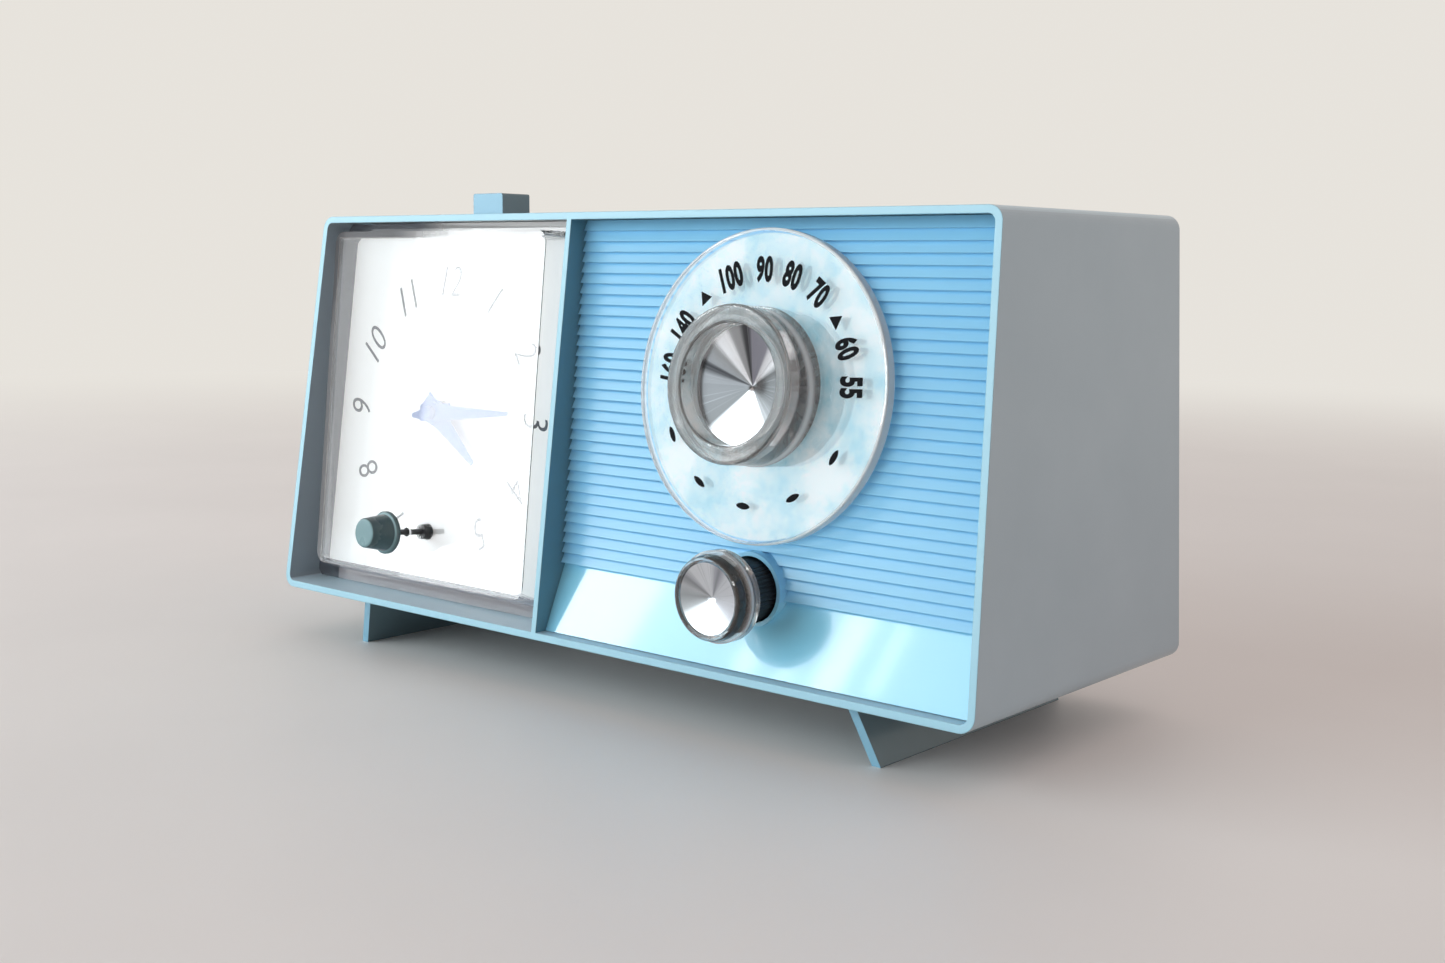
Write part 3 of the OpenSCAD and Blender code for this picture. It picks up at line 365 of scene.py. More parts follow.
@dataclass(frozen=True)
class MouldedPlastic:
    """Glossy moulded plastic with faint flow clouding, fine texture and handling marks.

    Attributes:
        name: Name of the finish.
        colour: Main colour.
        cloud: Colour of the clouding.
        gloss: Roughness where it is clean.
        worn: Roughness where it was handled.
        edge: Radius of softened edges in metres.
        grain: Depth of the fine texture in metres.
        polish: Weight of the clear shine over it.
        front: Lighter colour of the faces that look to the front, painted light, where it differs.
        low: Lighter colour, painted light, and shine below a height, where they differ.
        inside: Painted shade on the faces that look into the piece and painted light on those that look up,
            where they differ.
    """

    name: str
    colour: Colour
    cloud: Colour
    gloss: float = 0.18
    worn: float = 0.32
    edge: float = 0.0005
    grain: float = 0.00002
    polish: float = 0.15
    front: Colour | None = None
    low: LowPart | None = None
    inside: InnerWalls | None = None

    def make(self) -> bpy.types.Material:
        """Returns the node material."""
        sheet = NodeSheet(self.name)
        polish = self.polish
        clouds = sheet.noise(22.0, detail=4.0)
        colour = sheet.ramp(clouds, [(0.35, self.colour), (0.72, self.cloud)])
        # Painted shade on faces that look in, painted light on faces that look up.
        if self.inside is not None:
            colour = self.inside.over(sheet, colour)
        # Painted light: a lighter colour on the lower part, with a polish of its own.
        if self.low is not None:
            low = self.low.share(sheet)
            colour = sheet.blend(low, colour, self.low.colour)
            polish = sheet.spread(low, self.polish, self.low.polish)
        # Painted light: faces that look to the front get a lighter colour.
        if self.front is not None:
            colour = sheet.blend(sheet.step(sheet.facing(FRONT), *LOOKS), colour, self.front)
        handled = sheet.noise(60.0, detail=5.0, rough=0.65)
        fine = sheet.noise(1400.0, detail=2.0)
        sheet.principled(IOR=1.5, Coat_Weight=polish, Coat_Roughness=0.06, Base_Color=colour,
                         Roughness=sheet.spread(handled, self.gloss, self.worn),
                         Normal=sheet.bump(fine, self.grain, 0.35, sheet.soft_edges(self.edge)))
        return sheet.owner


@dataclass(frozen=True)
class TrayRim:
    """Painted shade on the left and upper flanks of a clear tray, outside its flat window, and a paler
    lilac-grey tint on its lower flank.

    Attributes:
        colour: Dark tint of the left and upper flank, painted shade.
        low_colour: Paler lilac-grey tint of the lower flank.
        clear: Share of light that passes through them.
        left: Window's left edge, seen from the front.
        low: Height of its lower edge.
        high: Height of its upper edge.
        fade: Where the painted shade on the upper flank starts to the left and is full.
        soft: Width over which the tint comes in.
    """

    colour: Colour
    low_colour: Colour
    clear: float
    left: float
    low: float
    high: float
    fade: tuple[float, float]
    soft: float = 1.0 * MM

    def tint(self, sheet: NodeSheet, tint: Socket) -> tuple[Socket, Socket]:
        """Paints shade on the flanks.

        Args:
            sheet: The finish's node tree.
            tint: Colour of the window.

        Returns:
            The tinted colour's socket and that of the flanks' share.
        """
        # Painted shade: dark tint on the left flank and on the upper flank towards the left; a paler
        # lilac-grey on the lower flank.
        left = sheet.step(sheet.along("X"), self.left, self.left - self.soft)
        low = sheet.step(sheet.along("Z"), self.low, self.low - self.soft)
        high = sheet.step(sheet.along("Z"), self.high, self.high + self.soft)
        upper_shade = sheet.maths("MULTIPLY", high, sheet.step(sheet.along("X"), *self.fade))
        side = sheet.maths("MAXIMUM", left, upper_shade)
        tint = sheet.blend(side, sheet.blend(low, tint, self.low_colour), self.colour)
        return tint, sheet.maths("MAXIMUM", side, low)


@dataclass(frozen=True)
class MilkyPart:
    """A part of a clear piece that is tinted pale and less clear, as painted light.

    Attributes:
        colour: Tint of the part.
        clear: Share of light that passes through it.
    """

    colour: Colour
    clear: float

    def share(self, sheet: NodeSheet) -> Socket:
        """Returns the share of painted light on the piece, from 0 to 1."""
        raise NotImplementedError

    def tint(self, sheet: NodeSheet, tint: Socket) -> tuple[Socket, Socket]:
        """Returns the colour's socket with the part tinted, and that of the part's share."""
        share = self.share(sheet)
        return sheet.blend(share, tint, self.colour), share


@dataclass(frozen=True)
class DiscRim(MilkyPart):
    """Painted light: a pale milky tint on the edge of a clear disc, standing in for the light its edge
    catches.

    Attributes:
        inner: Where it starts, as a share of the disc's radius.
        soft: Share of the radius over which it comes in.
    """

    inner: float
    soft: float = 0.008

    def share(self, sheet: NodeSheet) -> Socket:
        """Returns 1 at the edge and 0 inside it."""
        return sheet.step(sheet.radius(), self.inner, self.inner + self.soft)


@dataclass(frozen=True)
class SideBands(MilkyPart):
    """Painted highlights: pale milky bands round the side of a clear knob.

    Attributes:
        places: Places from 0 at the knob's front to 1 at its rear, and how strong the painted highlight is
            there.
    """

    places: tuple[tuple[float, float], ...]

    def share(self, sheet: NodeSheet) -> Socket:
        """Returns how strong the painted highlight on the side is."""
        stops = [(place, (milk, milk, milk)) for place, milk in self.places]
        return sheet.ramp(sheet.along("Y", "Generated"), stops)


@dataclass(frozen=True)
class ClearPlastic:
    """Clear moulded acrylic with hairline scratches; light falls through it onto what is behind.

    Attributes:
        name: Name of the finish.
        tint: Colour of the plastic.
        gloss: Roughness of its polish.
        scratch: Depth of the scratches in metres.
        shade: Share of light that it holds back from what is behind.
        clear: Share of light that passes through; the rest scatters in it.
        dark: Tint in the rings that turning left in it.
        rim: Painted light and shade on some of its parts, if it has any.
    """

    name: str
    tint: Colour
    gloss: float = 0.02
    scratch: float = 0.000004
    shade: float = 0.1
    clear: float = 1.0
    dark: Colour | None = None
    rim: TrayRim | MilkyPart | None = None

    def make(self) -> bpy.types.Material:
        """Returns the node material."""
        sheet = NodeSheet(self.name)
        clear = self.clear
        rings = sheet.streaks(sheet.radius(), 16.0)
        tint = sheet.ramp(rings, [(0.38, self.dark or self.tint), (0.60, self.tint)])
        # Painted light and shade: some parts are tinted and made less clear to stand in for the light and
        # shade on them.
        if self.rim is not None:
            tint, share = self.rim.tint(sheet, tint)
            clear = sheet.spread(share, self.clear, self.rim.clear)
        smudge = sheet.noise(90.0, detail=4.0, rough=0.6)
        lines = sheet.noise(260.0, detail=2.0, rough=0.5, stretch=(6.0, 1.0, 0.4))
        plastic = sheet.principled(IOR=1.49, Transmission_Weight=clear, Base_Color=tint,
                                   Roughness=sheet.spread(smudge, self.gloss * 0.5, self.gloss * 1.8),
                                   Normal=sheet.bump(lines, self.scratch, 0.25))
        passed = 1.0 - self.shade
        through = sheet.add("BsdfTransparent", {"Color": (passed, passed, passed)})
        path = sheet.add("LightPath")
        either = sheet.maths("MAXIMUM", path.outputs["Is Shadow Ray"], path.outputs["Is Diffuse Ray"])
        sheet.mix(either, plastic, through.outputs["BSDF"])
        return sheet.owner


class Fan(Enum):
    """Painted reflections: tones of the light fans on a turned dish, painted into its colour: share of the
    turn from nine o'clock, tone, coolness.
    """

    DISH = ((0.0, 0.15, 0.2), (0.125, 0.13, 0.0), (0.15, 0.80, 0.1), (0.33, 0.80, 0.1), (0.36, 0.20, 0.0),
            (0.45, 0.11, 0.0), (0.57, 0.13, 0.0), (0.60, 0.70, 0.1), (0.645, 0.65, 0.2), (0.665, 0.26, 1.0),
            (0.735, 0.26, 1.0), (0.752, 0.05, 0.4), (0.768, 0.07, 0.2), (0.785, 0.30, 0.0),
            (0.81, 0.32, 0.0), (0.83, 0.80, 0.1), (0.865, 0.75, 0.1), (0.885, 0.26, 0.0),
            (0.925, 0.22, 0.2), (0.94, 0.04, 0.6), (0.955, 0.06, 0.4), (0.97, 0.17, 0.2))
    SHALLOW = ((0.0, 0.26, 0.0), (0.07, 0.32, 0.0), (0.12, 0.80, 0.1), (0.36, 0.80, 0.1), (0.42, 0.50, 0.4),
               (0.62, 0.66, 0.2), (0.68, 0.34, 0.6), (0.74, 0.76, 0.1), (0.86, 0.70, 0.1), (0.91, 0.28, 0.3),
               (0.95, 0.42, 0.0), (1.0, 0.26, 0.0))


@dataclass(frozen=True)
class SpunMetal:
    """Metal turned in fine rings round its front-to-rear axis, which draw the light out into fans; the fans'
    tones are also painted into its colour as painted reflections.

    Attributes:
        name: Name of the finish.
        colour: Colour of the metal.
        fan: Painted reflection tones of the fans.
        plane: Plane across its axis.
        rough: Roughness across the rings.
        draw: How far the rings draw the light out.
    """

    name: str
    colour: Colour
    fan: Fan
    plane: FrontPlane
    rough: float = 0.22
    draw: float = 0.8

    def toned(self, tone: float, cool: float) -> Colour:
        """Returns the metal's colour at a painted reflection tone, drawn towards violet by its coolness."""
        red, green, blue = self.colour
        return (tone * red * (1.0 - 0.10 * cool), tone * green * (1.0 - 0.12 * cool), tone * blue)

    def make(self) -> bpy.types.Material:
        """Returns the node material."""
        sheet = NodeSheet(self.name)
        tangent = sheet.add("Tangent", direction_type="RADIAL", axis="Y")
        around = {"Vector": sheet.on_plane(self.plane)}
        share = sheet.add("TexGradient", around, gradient_type="RADIAL").outputs["Fac"]
        # Painted reflections: fan tones are painted into the base colour by the angle round the axis.
        reflection_tones = [(place, self.toned(tone, cool)) for place, tone, cool in self.fan.value]
        fine = sheet.step(sheet.streaks(share, 90.0), 0.45, 0.30)
        dulled = sheet.maths("MULTIPLY", fine, 0.35)
        tarnish = sheet.noise(160.0, detail=5.0, rough=0.6)
        sheet.principled(Metallic=1.0, Anisotropic=self.draw, Tangent=tangent.outputs["Tangent"],
                         Base_Color=sheet.blend(dulled, sheet.ramp(share, reflection_tones), self.toned(0.3, 0.3)),
                         Roughness=sheet.spread(tarnish, self.rough * 1.25, self.rough * 0.75))
        return sheet.owner


@dataclass(frozen=True)
class PlainMetal:
    """Plated, drawn or lacquered metal with clouded shine.

    Attributes:
        name: Name of the finish.
        colour: Colour of the metal.
        stain: Colour of its stains.
        rough: Roughness where it is bright.
        metallic: 1 for bare metal, 0 for a lacquered one.
    """

    name: str
    colour: Colour
    stain: Colour
    rough: float = 0.3
    metallic: float = 1.0

    def make(self) -> bpy.types.Material:
        """Returns the node material."""
        sheet = NodeSheet(self.name)
        stains = sheet.noise(110.0, detail=5.0, rough=0.6)
        scuffs = sheet.noise(900.0, detail=3.0, rough=0.6, stretch=(1.0, 1.0, 0.2))
        sheet.principled(Metallic=self.metallic,
                         Base_Color=sheet.ramp(stains, [(0.38, self.colour), (0.74, self.stain)]),
                         Roughness=sheet.spread(stains, self.rough, self.rough + 0.22),
                         Normal=sheet.bump(scuffs, 0.00002, 0.3, sheet.soft_edges(0.00025)))
        return sheet.owner


@dataclass(frozen=True)
class DullSurface:
    """Paper, phenolic board, rubber, paint or ferrite with a fine grain.

    Attributes:
        name: Name of the finish.
        colour: Main colour.
        fleck: Colour of the flecks.
        rough: Roughness.
        grain: Depth of the grain in metres.
        cells: Grain cells to the metre.
        shine: Level of its shine.
        spread: Where along the flecks' pattern one colour gives way to the other.
    """

    name: str
    colour: Colour
    fleck: Colour
    rough: float = 0.6
    grain: float = 0.00005
    cells: float = 700.0
    shine: float = 0.5
    spread: tuple[float, float] = (0.35, 0.8)

    def make(self) -> bpy.types.Material:
        """Returns the node material."""
        sheet = NodeSheet(self.name)
        flecks = sheet.noise(self.cells * 0.4, detail=5.0, rough=0.65)
        stops = list(zip(self.spread, (self.colour, self.fleck)))
        sheet.principled(Specular_IOR_Level=self.shine, Base_Color=sheet.ramp(flecks, stops),
                         Roughness=sheet.spread(flecks, self.rough - 0.08, self.rough + 0.12),
                         Normal=sheet.bump(sheet.noise(self.cells), self.grain, 0.4))
        return sheet.owner


@dataclass(frozen=True)
class WoundWire:
    """Lacquered wire wound in close turns along one axis.

    Attributes:
        name: Name of the finish.
        colour: Colour of the wire.
        dark: Colour between the turns.
        turns: Turns and gaps, counted together, to the metre.
        along: Axis of the winding, X, Y or Z.
    """

    name: str
    colour: Colour
    dark: Colour
    turns: float = 1600.0
    along: str = "X"

    def make(self) -> bpy.types.Material:
        """Returns the node material."""
        sheet = NodeSheet(self.name)
        feeds = {"Scale": self.turns / 20.0 * math.pi, "Distortion": 0.6,
                 "Vector": sheet.coordinate("Object")}
        wave = sheet.add("TexWave", feeds, bands_direction=self.along).outputs["Fac"]
        sheet.principled(Metallic=0.6, Base_Color=sheet.ramp(wave, [(0.15, self.dark), (0.7, self.colour)]),
                         Roughness=sheet.spread(wave, 0.5, 0.28), Normal=sheet.bump(wave, 0.0001, 0.6))
        return sheet.owner


Finish = MouldedPlastic | ClearPlastic | SpunMetal | PlainMetal | DullSurface | WoundWire

# Painted light and shade: the cyan front colour stands in for light on the front faces, the inner walls are
# darker as painted shade, and faces that look up are lighter as painted light.
PALE = MouldedPlastic("pale_plastic", (0.37, 0.46, 0.515), (0.40, 0.49, 0.545), 0.26, 0.42,
                      front=(0.38, 0.66, 0.78),
                      inside=InnerWalls((0.23, 0.28, 0.32), (0.11, 0.25, 0.32),
                                        (0.50, 0.64, 0.72), -14.9 * MM))
# Painted light: the lighter front colour stands in for light on the front faces; on the feet the dark main
# colour is partly painted shade from under the cabinet.
TEAL = MouldedPlastic("teal_plastic", (0.11, 0.18, 0.21), (0.13, 0.205, 0.235), 0.12, 0.25,
                      front=(0.26, 0.51, 0.66))
# Painted light: the lower strip's lighter colour stands in for the light it catches; its polish is its own.
SKY = MouldedPlastic("sky_plastic", (0.29, 0.65, 0.91), (0.31, 0.68, 0.93), 0.18, 0.30, 0.0002, polish=0.0,
                     low=LowPart(40.2 * MM, (0.30, 0.73, 0.94), 0.7))
# Painted light and shade: the lighter front colour stands in for light on the knob's front, and its dark
# main colour is partly painted shade on its sides.
SET_BLUE = MouldedPlastic("set_plastic", (0.045, 0.08, 0.088), (0.06, 0.105, 0.113), 0.20, 0.36, 0.0002,
                          front=(0.16, 0.29, 0.31))
REAR = MouldedPlastic("rear_plastic", (0.30, 0.36, 0.40), (0.33, 0.39, 0.43), 0.42, 0.55, 0.0003, 0.00005)
COLLAR = MouldedPlastic("collar_plastic", (0.012, 0.012, 0.014), (0.02, 0.02, 0.022), 0.3, 0.45, 0.0001)
# Painted shade: the crystal's left and upper flanks are tinted dark and made less clear where shade falls.
CRYSTAL = ClearPlastic("crystal_plastic", (0.98, 0.985, 0.99), 0.02, shade=0.02,
                       rim=TrayRim((0.15, 0.17, 0.20), (0.62, 0.60, 0.64), 0.2, -130.8 * MM,
                                   27.5 * MM, 141.5 * MM, (-75.0 * MM, -100.0 * MM)))
# Painted light: a pale milky tint on the dial's edge stands in for the light its clear edge catches.
DIAL_CLEAR = ClearPlastic("dial_plastic", (0.97, 0.985, 0.99), 0.03, shade=0.04,
                          rim=DiscRim((0.93, 0.92, 0.91), 0.35, 0.978))
# Painted highlights: pale milky bands on the knob's side stand in for bright streaks of light on it.
KNOB_HIGHLIGHTS = SideBands((1.0, 0.97, 0.95), 0.2, ((0.44, 0.0), (0.53, 0.8), (0.58, 0.8), (0.68, 0.0)))
KNOB_CLEAR = ClearPlastic("knob_plastic", (0.68, 0.60, 0.57), 0.03, shade=0.15, clear=0.9,
                          dark=(0.38, 0.33, 0.31), rim=KNOB_HIGHLIGHTS)
# Painted reflections: both dishes carry fan tones in their colour.
DISH = SpunMetal("spun_dish", (0.86, 0.86, 0.88), Fan.DISH, DIAL_PLANE)
SHALLOW_DISH = SpunMetal("spun_shallow_dish", (0.86, 0.86, 0.88), Fan.SHALLOW, VOLUME_PLANE)
STEEL = PlainMetal("plated_steel", (0.62, 0.62, 0.60), (0.42, 0.40, 0.36))
VANES = PlainMetal("vane_aluminium", (0.76, 0.77, 0.78), (0.62, 0.63, 0.64), 0.35)
BRASS = PlainMetal("clock_brass", (0.72, 0.53, 0.22), (0.50, 0.34, 0.13), 0.28)
COPPER = PlainMetal("copper_can", (0.62, 0.30, 0.15), (0.36, 0.18, 0.10), 0.32)
IRON = PlainMetal("dark_iron", (0.06, 0.06, 0.065), (0.11, 0.08, 0.06), 0.5, 0.4)
FACE = DullSurface("face_paint", (0.97, 0.95, 0.93), (0.95, 0.93, 0.91), 0.5, 0.00001, shine=0.1)
HAND = DullSurface("hand_paint", (0.05, 0.12, 0.34), (0.07, 0.15, 0.38), 0.5, 0.000005, shine=0.1)
BOARD = DullSurface("phenolic_board", (0.22, 0.12, 0.05), (0.30, 0.18, 0.08), 0.5)
SOCKET = DullSurface("socket_phenolic", (0.035, 0.022, 0.015), (0.06, 0.04, 0.025), 0.4)
CONE = DullSurface("cone_paper", (0.03, 0.028, 0.025), (0.06, 0.055, 0.05), 0.85, 0.0002, 900.0)
FERRITE = DullSurface("ferrite", (0.03, 0.03, 0.032), (0.05, 0.05, 0.052), 0.55)
NYLON = DullSurface("bracket_nylon", (0.70, 0.66, 0.53), (0.76, 0.72, 0.60), 0.45)
RUBBER = DullSurface("inlet_rubber", (0.018, 0.018, 0.018), (0.03, 0.03, 0.03), 0.7)
TUBE = ClearPlastic("tube_glass", (0.80, 0.84, 0.84), 0.02)
COIL = WoundWire("taped_coil", (0.45, 0.22, 0.06), (0.12, 0.05, 0.02))
INK = DullSurface("dial_ink", (0.008, 0.008, 0.010), (0.014, 0.014, 0.016), 0.8, 0.000005, shine=0.1)
GREY_INK = DullSurface("clock_ink", (0.07, 0.075, 0.09), (0.10, 0.105, 0.12), 0.6, 0.000005, shine=0.1)
# Its cyan and pale patches are partly uneven paint and partly painted reflection.
PALE_PAINT = DullSurface("dial_paint", (0.30, 0.62, 0.74), (0.82, 0.86, 0.87), 0.5, 0.000005, 140.0, 0.1,
                         (0.36, 0.62))

NODE_FINISHES: dict[Finish, tuple[str, ...]] = {
    PALE: ("cabinet_shell",),
    TEAL: ("left_foot", "right_foot", "snooze_button"),
    SKY: ("front_panel",),
    SET_BLUE: ("set_knob",),
    REAR: ("rear_cover",),
    COLLAR: ("volume_collar", "set_shaft"),
    CRYSTAL: ("clock_crystal",),
    DIAL_CLEAR: ("dial_disc",),
    KNOB_CLEAR: ("tuning_knob", "volume_knob"),
    DISH: ("tuning_knob_insert",),
    SHALLOW_DISH: ("volume_knob_insert",),
    STEEL: ("panel_screws", "tuning_shaft", "capacitor_frame", "capacitor_screws", "volume_shaft",
            "volume_control", "speaker_basket", "board_screws", "first_if_can", "second_if_can",
            "filter_capacitor", "clock_screws", "snooze_spring", "snooze_bracket", "rear_screws"),
    VANES: ("capacitor_rotor", "capacitor_stator"),
    BRASS: ("clock_plates", "minute_arbor", "hour_wheel", "alarm_sleeve", "motion_wheel", "motor_pinion"),
    COPPER: ("motor_can",),
    IRON: ("speaker_magnet", "transformer_core", "motor_core"),
    FACE: ("clock_face",),
    HAND: ("minute_hand", "hour_hand", "alarm_hand"),
    BOARD: ("circuit_board",),
    SOCKET: ("tube_sockets",),
    CONE: ("speaker_cone",),
    FERRITE: ("ferrite_rod",),
    NYLON: ("antenna_brackets",),
    RUBBER: ("inlet_bushing",),
    TUBE: ("converter_tube", "amplifier_tube", "detector_tube", "output_tube", "rectifier_tube"),
    COIL: ("transformer_coil", "antenna_coil", "motor_coil"),
}


class Paintshop:
    """Makes each finish once and puts it on the pieces."""

    def __init__(self) -> None:
        """Starts with no finish made."""
        self.made: dict[str, bpy.types.Material] = {}

    def coat(self, piece: Piece, finish: Finish) -> None:
        """Gives a piece one finish.

        Args:
            piece: The object to paint.
            finish: Its finish.
        """
        if finish.name not in self.made:
            self.made[finish.name] = finish.make()
        piece.data.materials.clear()
        piece.data.materials.append(self.made[finish.name])

    def coat_nodes(self) -> None:
        """Paints every node of the frame."""
        for finish, nodes in NODE_FINISHES.items():
            for node in nodes:
                self.coat(frame["nodes"][node], finish)
                LOG.info("finish %s on %s", finish.name, node)


# Geometry helpers


def turn_angles(count: int) -> list[float]:
    """Returns so many angles, evenly spaced round a full turn, in radians."""
    return [2.0 * math.pi * i / count for i in range(count)]


def mesh_piece(name: str, points: list[Vector], faces: list[tuple[int, ...]]) -> Piece:
    """Makes a mesh object in the scene.

    Args:
        name: Name of the piece.
        points: Its corners.
        faces: Its faces as corner numbers.

    Returns:
        The new object.
    """
    mesh = bpy.data.meshes.new(name)
    mesh.from_pydata([tuple(p) for p in points], [], faces)
    mesh.update()
    piece = bpy.data.objects.new(name, mesh)
    bpy.context.scene.collection.objects.link(piece)
    return piece


@dataclass(frozen=True)
class Lettering:
    """Style of printed figures.

    Attributes:
        height: Height of a figure in metres.
        narrow: Width against the plain face of the figures.
        bold: Stroke thickening against the height.
        slant: Shear of the figures.
        spacing: Spacing of the figures; 1 is that of the plain face.
    """

    height: float
    narrow: float
    bold: float
    slant: float
    spacing: float


@dataclass
class Printing:
    """Flat printed shapes gathered into one piece on a plane.

    Attributes:
        plane: The plane that they lie on.
        lift: Height above the plane in metres.
        points: Corners so far.
        faces: Faces so far.
    """

    plane: FrontPlane
    lift: float
    points: list[Vector] = field(default_factory=list)
    faces: list[tuple[int, ...]] = field(default_factory=list)

    def placed(self, angle: float) -> Matrix:
        """Returns the matrix onto the plane of what is drawn at twelve o'clock and goes to an angle."""
        return self.plane.matrix() @ Matrix.Rotation(math.radians(angle - 90.0), 4, "Z")

    def polygon(self, corners: Outline, angle: float = 90.0) -> None:
        """Adds a flat polygon.

        Args:
            corners: Its corners, drawn at twelve o'clock.
            angle: Where it goes, in degrees counterclockwise from three o'clock.
        """
        start = len(self.points)
        matrix = self.placed(angle)
        self.points += [matrix @ Vector((x, y, self.lift)) for x, y in corners]
        self.faces.append(tuple(range(start, start + len(corners))))

    def figures(self, text: str, radius: float, angle: float, style: Lettering) -> None:
        """Adds figures on a circle with their tops outward.

        Args:
            text: The figures.
            radius: Radius of their middle.
            angle: Degrees counterclockwise from three o'clock.
            style: Their style.
        """
        curve = bpy.data.curves.new("figures", "FONT")
        curve.body = text
        curve.align_x = "CENTER"
        curve.offset = style.bold
        curve.shear = style.slant
        curve.space_character = style.spacing
        curve.resolution_u = 4
        holder = bpy.data.objects.new("figures", curve)
        bpy.context.scene.collection.objects.link(holder)
        bpy.context.view_layer.update()
        shape = holder.evaluated_get(bpy.context.evaluated_depsgraph_get()).to_mesh()
        ys = [v.co.y for v in shape.vertices]
        low, high = min(ys), max(ys)
        xs = [v.co.x for v in shape.vertices]
        middle = (min(xs) + max(xs)) / 2
        grow = style.height / (high - low)
        start = len(self.points)
        matrix = self.placed(angle)
        for v in shape.vertices:
            x = (v.co.x - middle) * grow * style.narrow
            y = (v.co.y - (low + high) / 2) * grow + radius
            self.points.append(matrix @ Vector((x, y, self.lift)))
        self.faces += [tuple(start + i for i in p.vertices) for p in shape.polygons]
        bpy.data.objects.remove(holder)

    def piece(self, name: str) -> Piece:
        """Returns the printing as one object."""
        return mesh_piece(name, self.points, self.faces)


# Sub-assemblies

# Gap between printing and what it is on
PRINT_GAP = 0.03 * MM


@dataclass
class TuningDial:
    """The turning dial: painted back, figures and marks on the front.

    Attributes:
        disc_back: Back of the disc from the panel plane.
        thickness: Thickness of the disc.
        paint_r: Radius of the painted back.
        paint_hole: Radius of the hole in the paint.
        figure_r: Radius of the figures' middles.
        style: Style of the figures.
        triangle: Corners of a triangle mark, drawn at twelve o'clock.
        lens_r: Radius of the lens marks' middles.
        lens_half: Half the length and width of a lens mark.
        lens_taper: How pointed its ends are.
        figures: Figures and their angles, counterclockwise from three o'clock.
        triangles: Angles of the triangle marks.
        lenses: Angles of the lens marks.
    """

    disc_back: float = 3.0 * MM
    thickness: float = 3.8 * MM
    paint_r: float = 43.2 * MM
    paint_hole: float = 6.2 * MM
    figure_r: float = 32.8 * MM
    style: Lettering = Lettering(7.6 * MM, narrow=0.60, bold=0.05, slant=0.0, spacing=1.08)
    triangle: Outline = ((-2.2 * MM, 31.0 * MM), (2.2 * MM, 31.0 * MM), (0.0, 34.8 * MM))
    lens_r: float = 33.8 * MM
    lens_half: tuple[float, float] = (2.5 * MM, 0.95 * MM)
    lens_taper: float = 0.3
    figures: tuple[tuple[str, float], ...] = (
        ("55", 2.7), ("60", 21.4), ("70", 53.6), ("80", 72.2), ("90", 90.0),
        ("100", 111.3), ("140", 150.6), ("160", 172.9))
    triangles: tuple[float, ...] = (36.3, 131.0)
    lenses: tuple[float, ...] = (-152.6, -122.9, -92.5, -61.9, -31.5)

    def paint(self) -> Piece:
        """Returns the painted layer on the disc's back."""
        layer = Printing(DIAL_PLANE, self.disc_back - PRINT_GAP)
        ring = turn_angles(128)
        for a, b in zip(ring, ring[1:] + ring[:1]):
            ends = ((self.paint_hole, a), (self.paint_r, a), (self.paint_r, b), (self.paint_hole, b))
            layer.polygon(tuple((r * math.cos(t), r * math.sin(t)) for r, t in ends))
        return layer.piece("dial_paint_layer")

    def marks(self) -> Piece:
        """Returns the figures, triangles and lens marks."""
        ink = Printing(DIAL_PLANE, self.disc_back + self.thickness + PRINT_GAP)
        for text, angle in self.figures:
            ink.figures(text, self.figure_r, angle, self.style)
        for angle in self.triangles:
            ink.polygon(self.triangle, angle)
        long, wide = self.lens_half
        curve = [(math.cos(t), math.sin(t) * abs(math.sin(t)) ** self.lens_taper) for t in turn_angles(20)]
        lens = tuple((long * x, wide * y + self.lens_r) for x, y in curve)
        for angle in self.lenses:
            ink.polygon(lens, angle)
        return ink.piece("dial_figures")

    def dress(self, shop: Paintshop) -> None:
        """Builds the paint and the marks and lets them turn with the dial.

        Args:
            shop: Where the finishes are made.
        """
        for piece, finish, slot in ((self.paint(), PALE_PAINT, "dial_plastic"),
                                    (self.marks(), INK, "black_plastic")):
            shop.coat(piece, finish)
            piece.visible_shadow = False
            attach(piece, "tuning")
            LOG.info("built %s", piece.name)


@dataclass
class ClockFace:
    """Figures printed on the white clock face.

    Attributes:
        figure_r: Radius of the figures' middles.
        style: Style of the figures.
        hours: Hours that are printed; the set shaft stands in the place of the one left out.
    """

    figure_r: float = 45.0 * MM
    style: Lettering = Lettering(10.4 * MM, narrow=0.82, bold=-0.006, slant=0.2, spacing=1.0)
    hours: tuple[int, ...] = (1, 2, 3, 4, 5, 7, 8, 9, 10, 11, 12)

    def dress(self, shop: Paintshop) -> None:
        """Prints the hours on the face.

        Args:
            shop: Where the finishes are made.
        """
        ink = Printing(CLOCK_PLANE, PRINT_GAP)
        for hour in self.hours:
            ink.figures(str(hour), self.figure_r, 90.0 - 30.0 * hour, self.style)
        piece = ink.piece("clock_figures")
        shop.coat(piece, GREY_INK)
        # Keeps the set knob's mirror image out of the crystal's glare
        frame["nodes"]["set_knob"].visible_glossy = False
        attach(piece, "cabinet")
        LOG.info("built %s", piece.name)


@dataclass
class SnoozeSpring:
    """The spring under the snooze button.

    Attributes:
        travel: How far the button goes down; not used.
    """

    travel: float = 4.0 * MM

    def dress(self, shop: Paintshop) -> None:
        """Puts a copy of the spring in the place of the imported one, which it hides.

        Args:
            shop: Where the finishes are made.
        """
        piece = bpy.data.objects.new("button_spring", frame["nodes"]["snooze_spring"].data.copy())
        bpy.context.scene.collection.objects.link(piece)
        shop.coat(piece, STEEL)
        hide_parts("snooze_spring")
        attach(piece, "cabinet")
        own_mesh(piece)
        LOG.info("built %s", piece.name)


# Stage


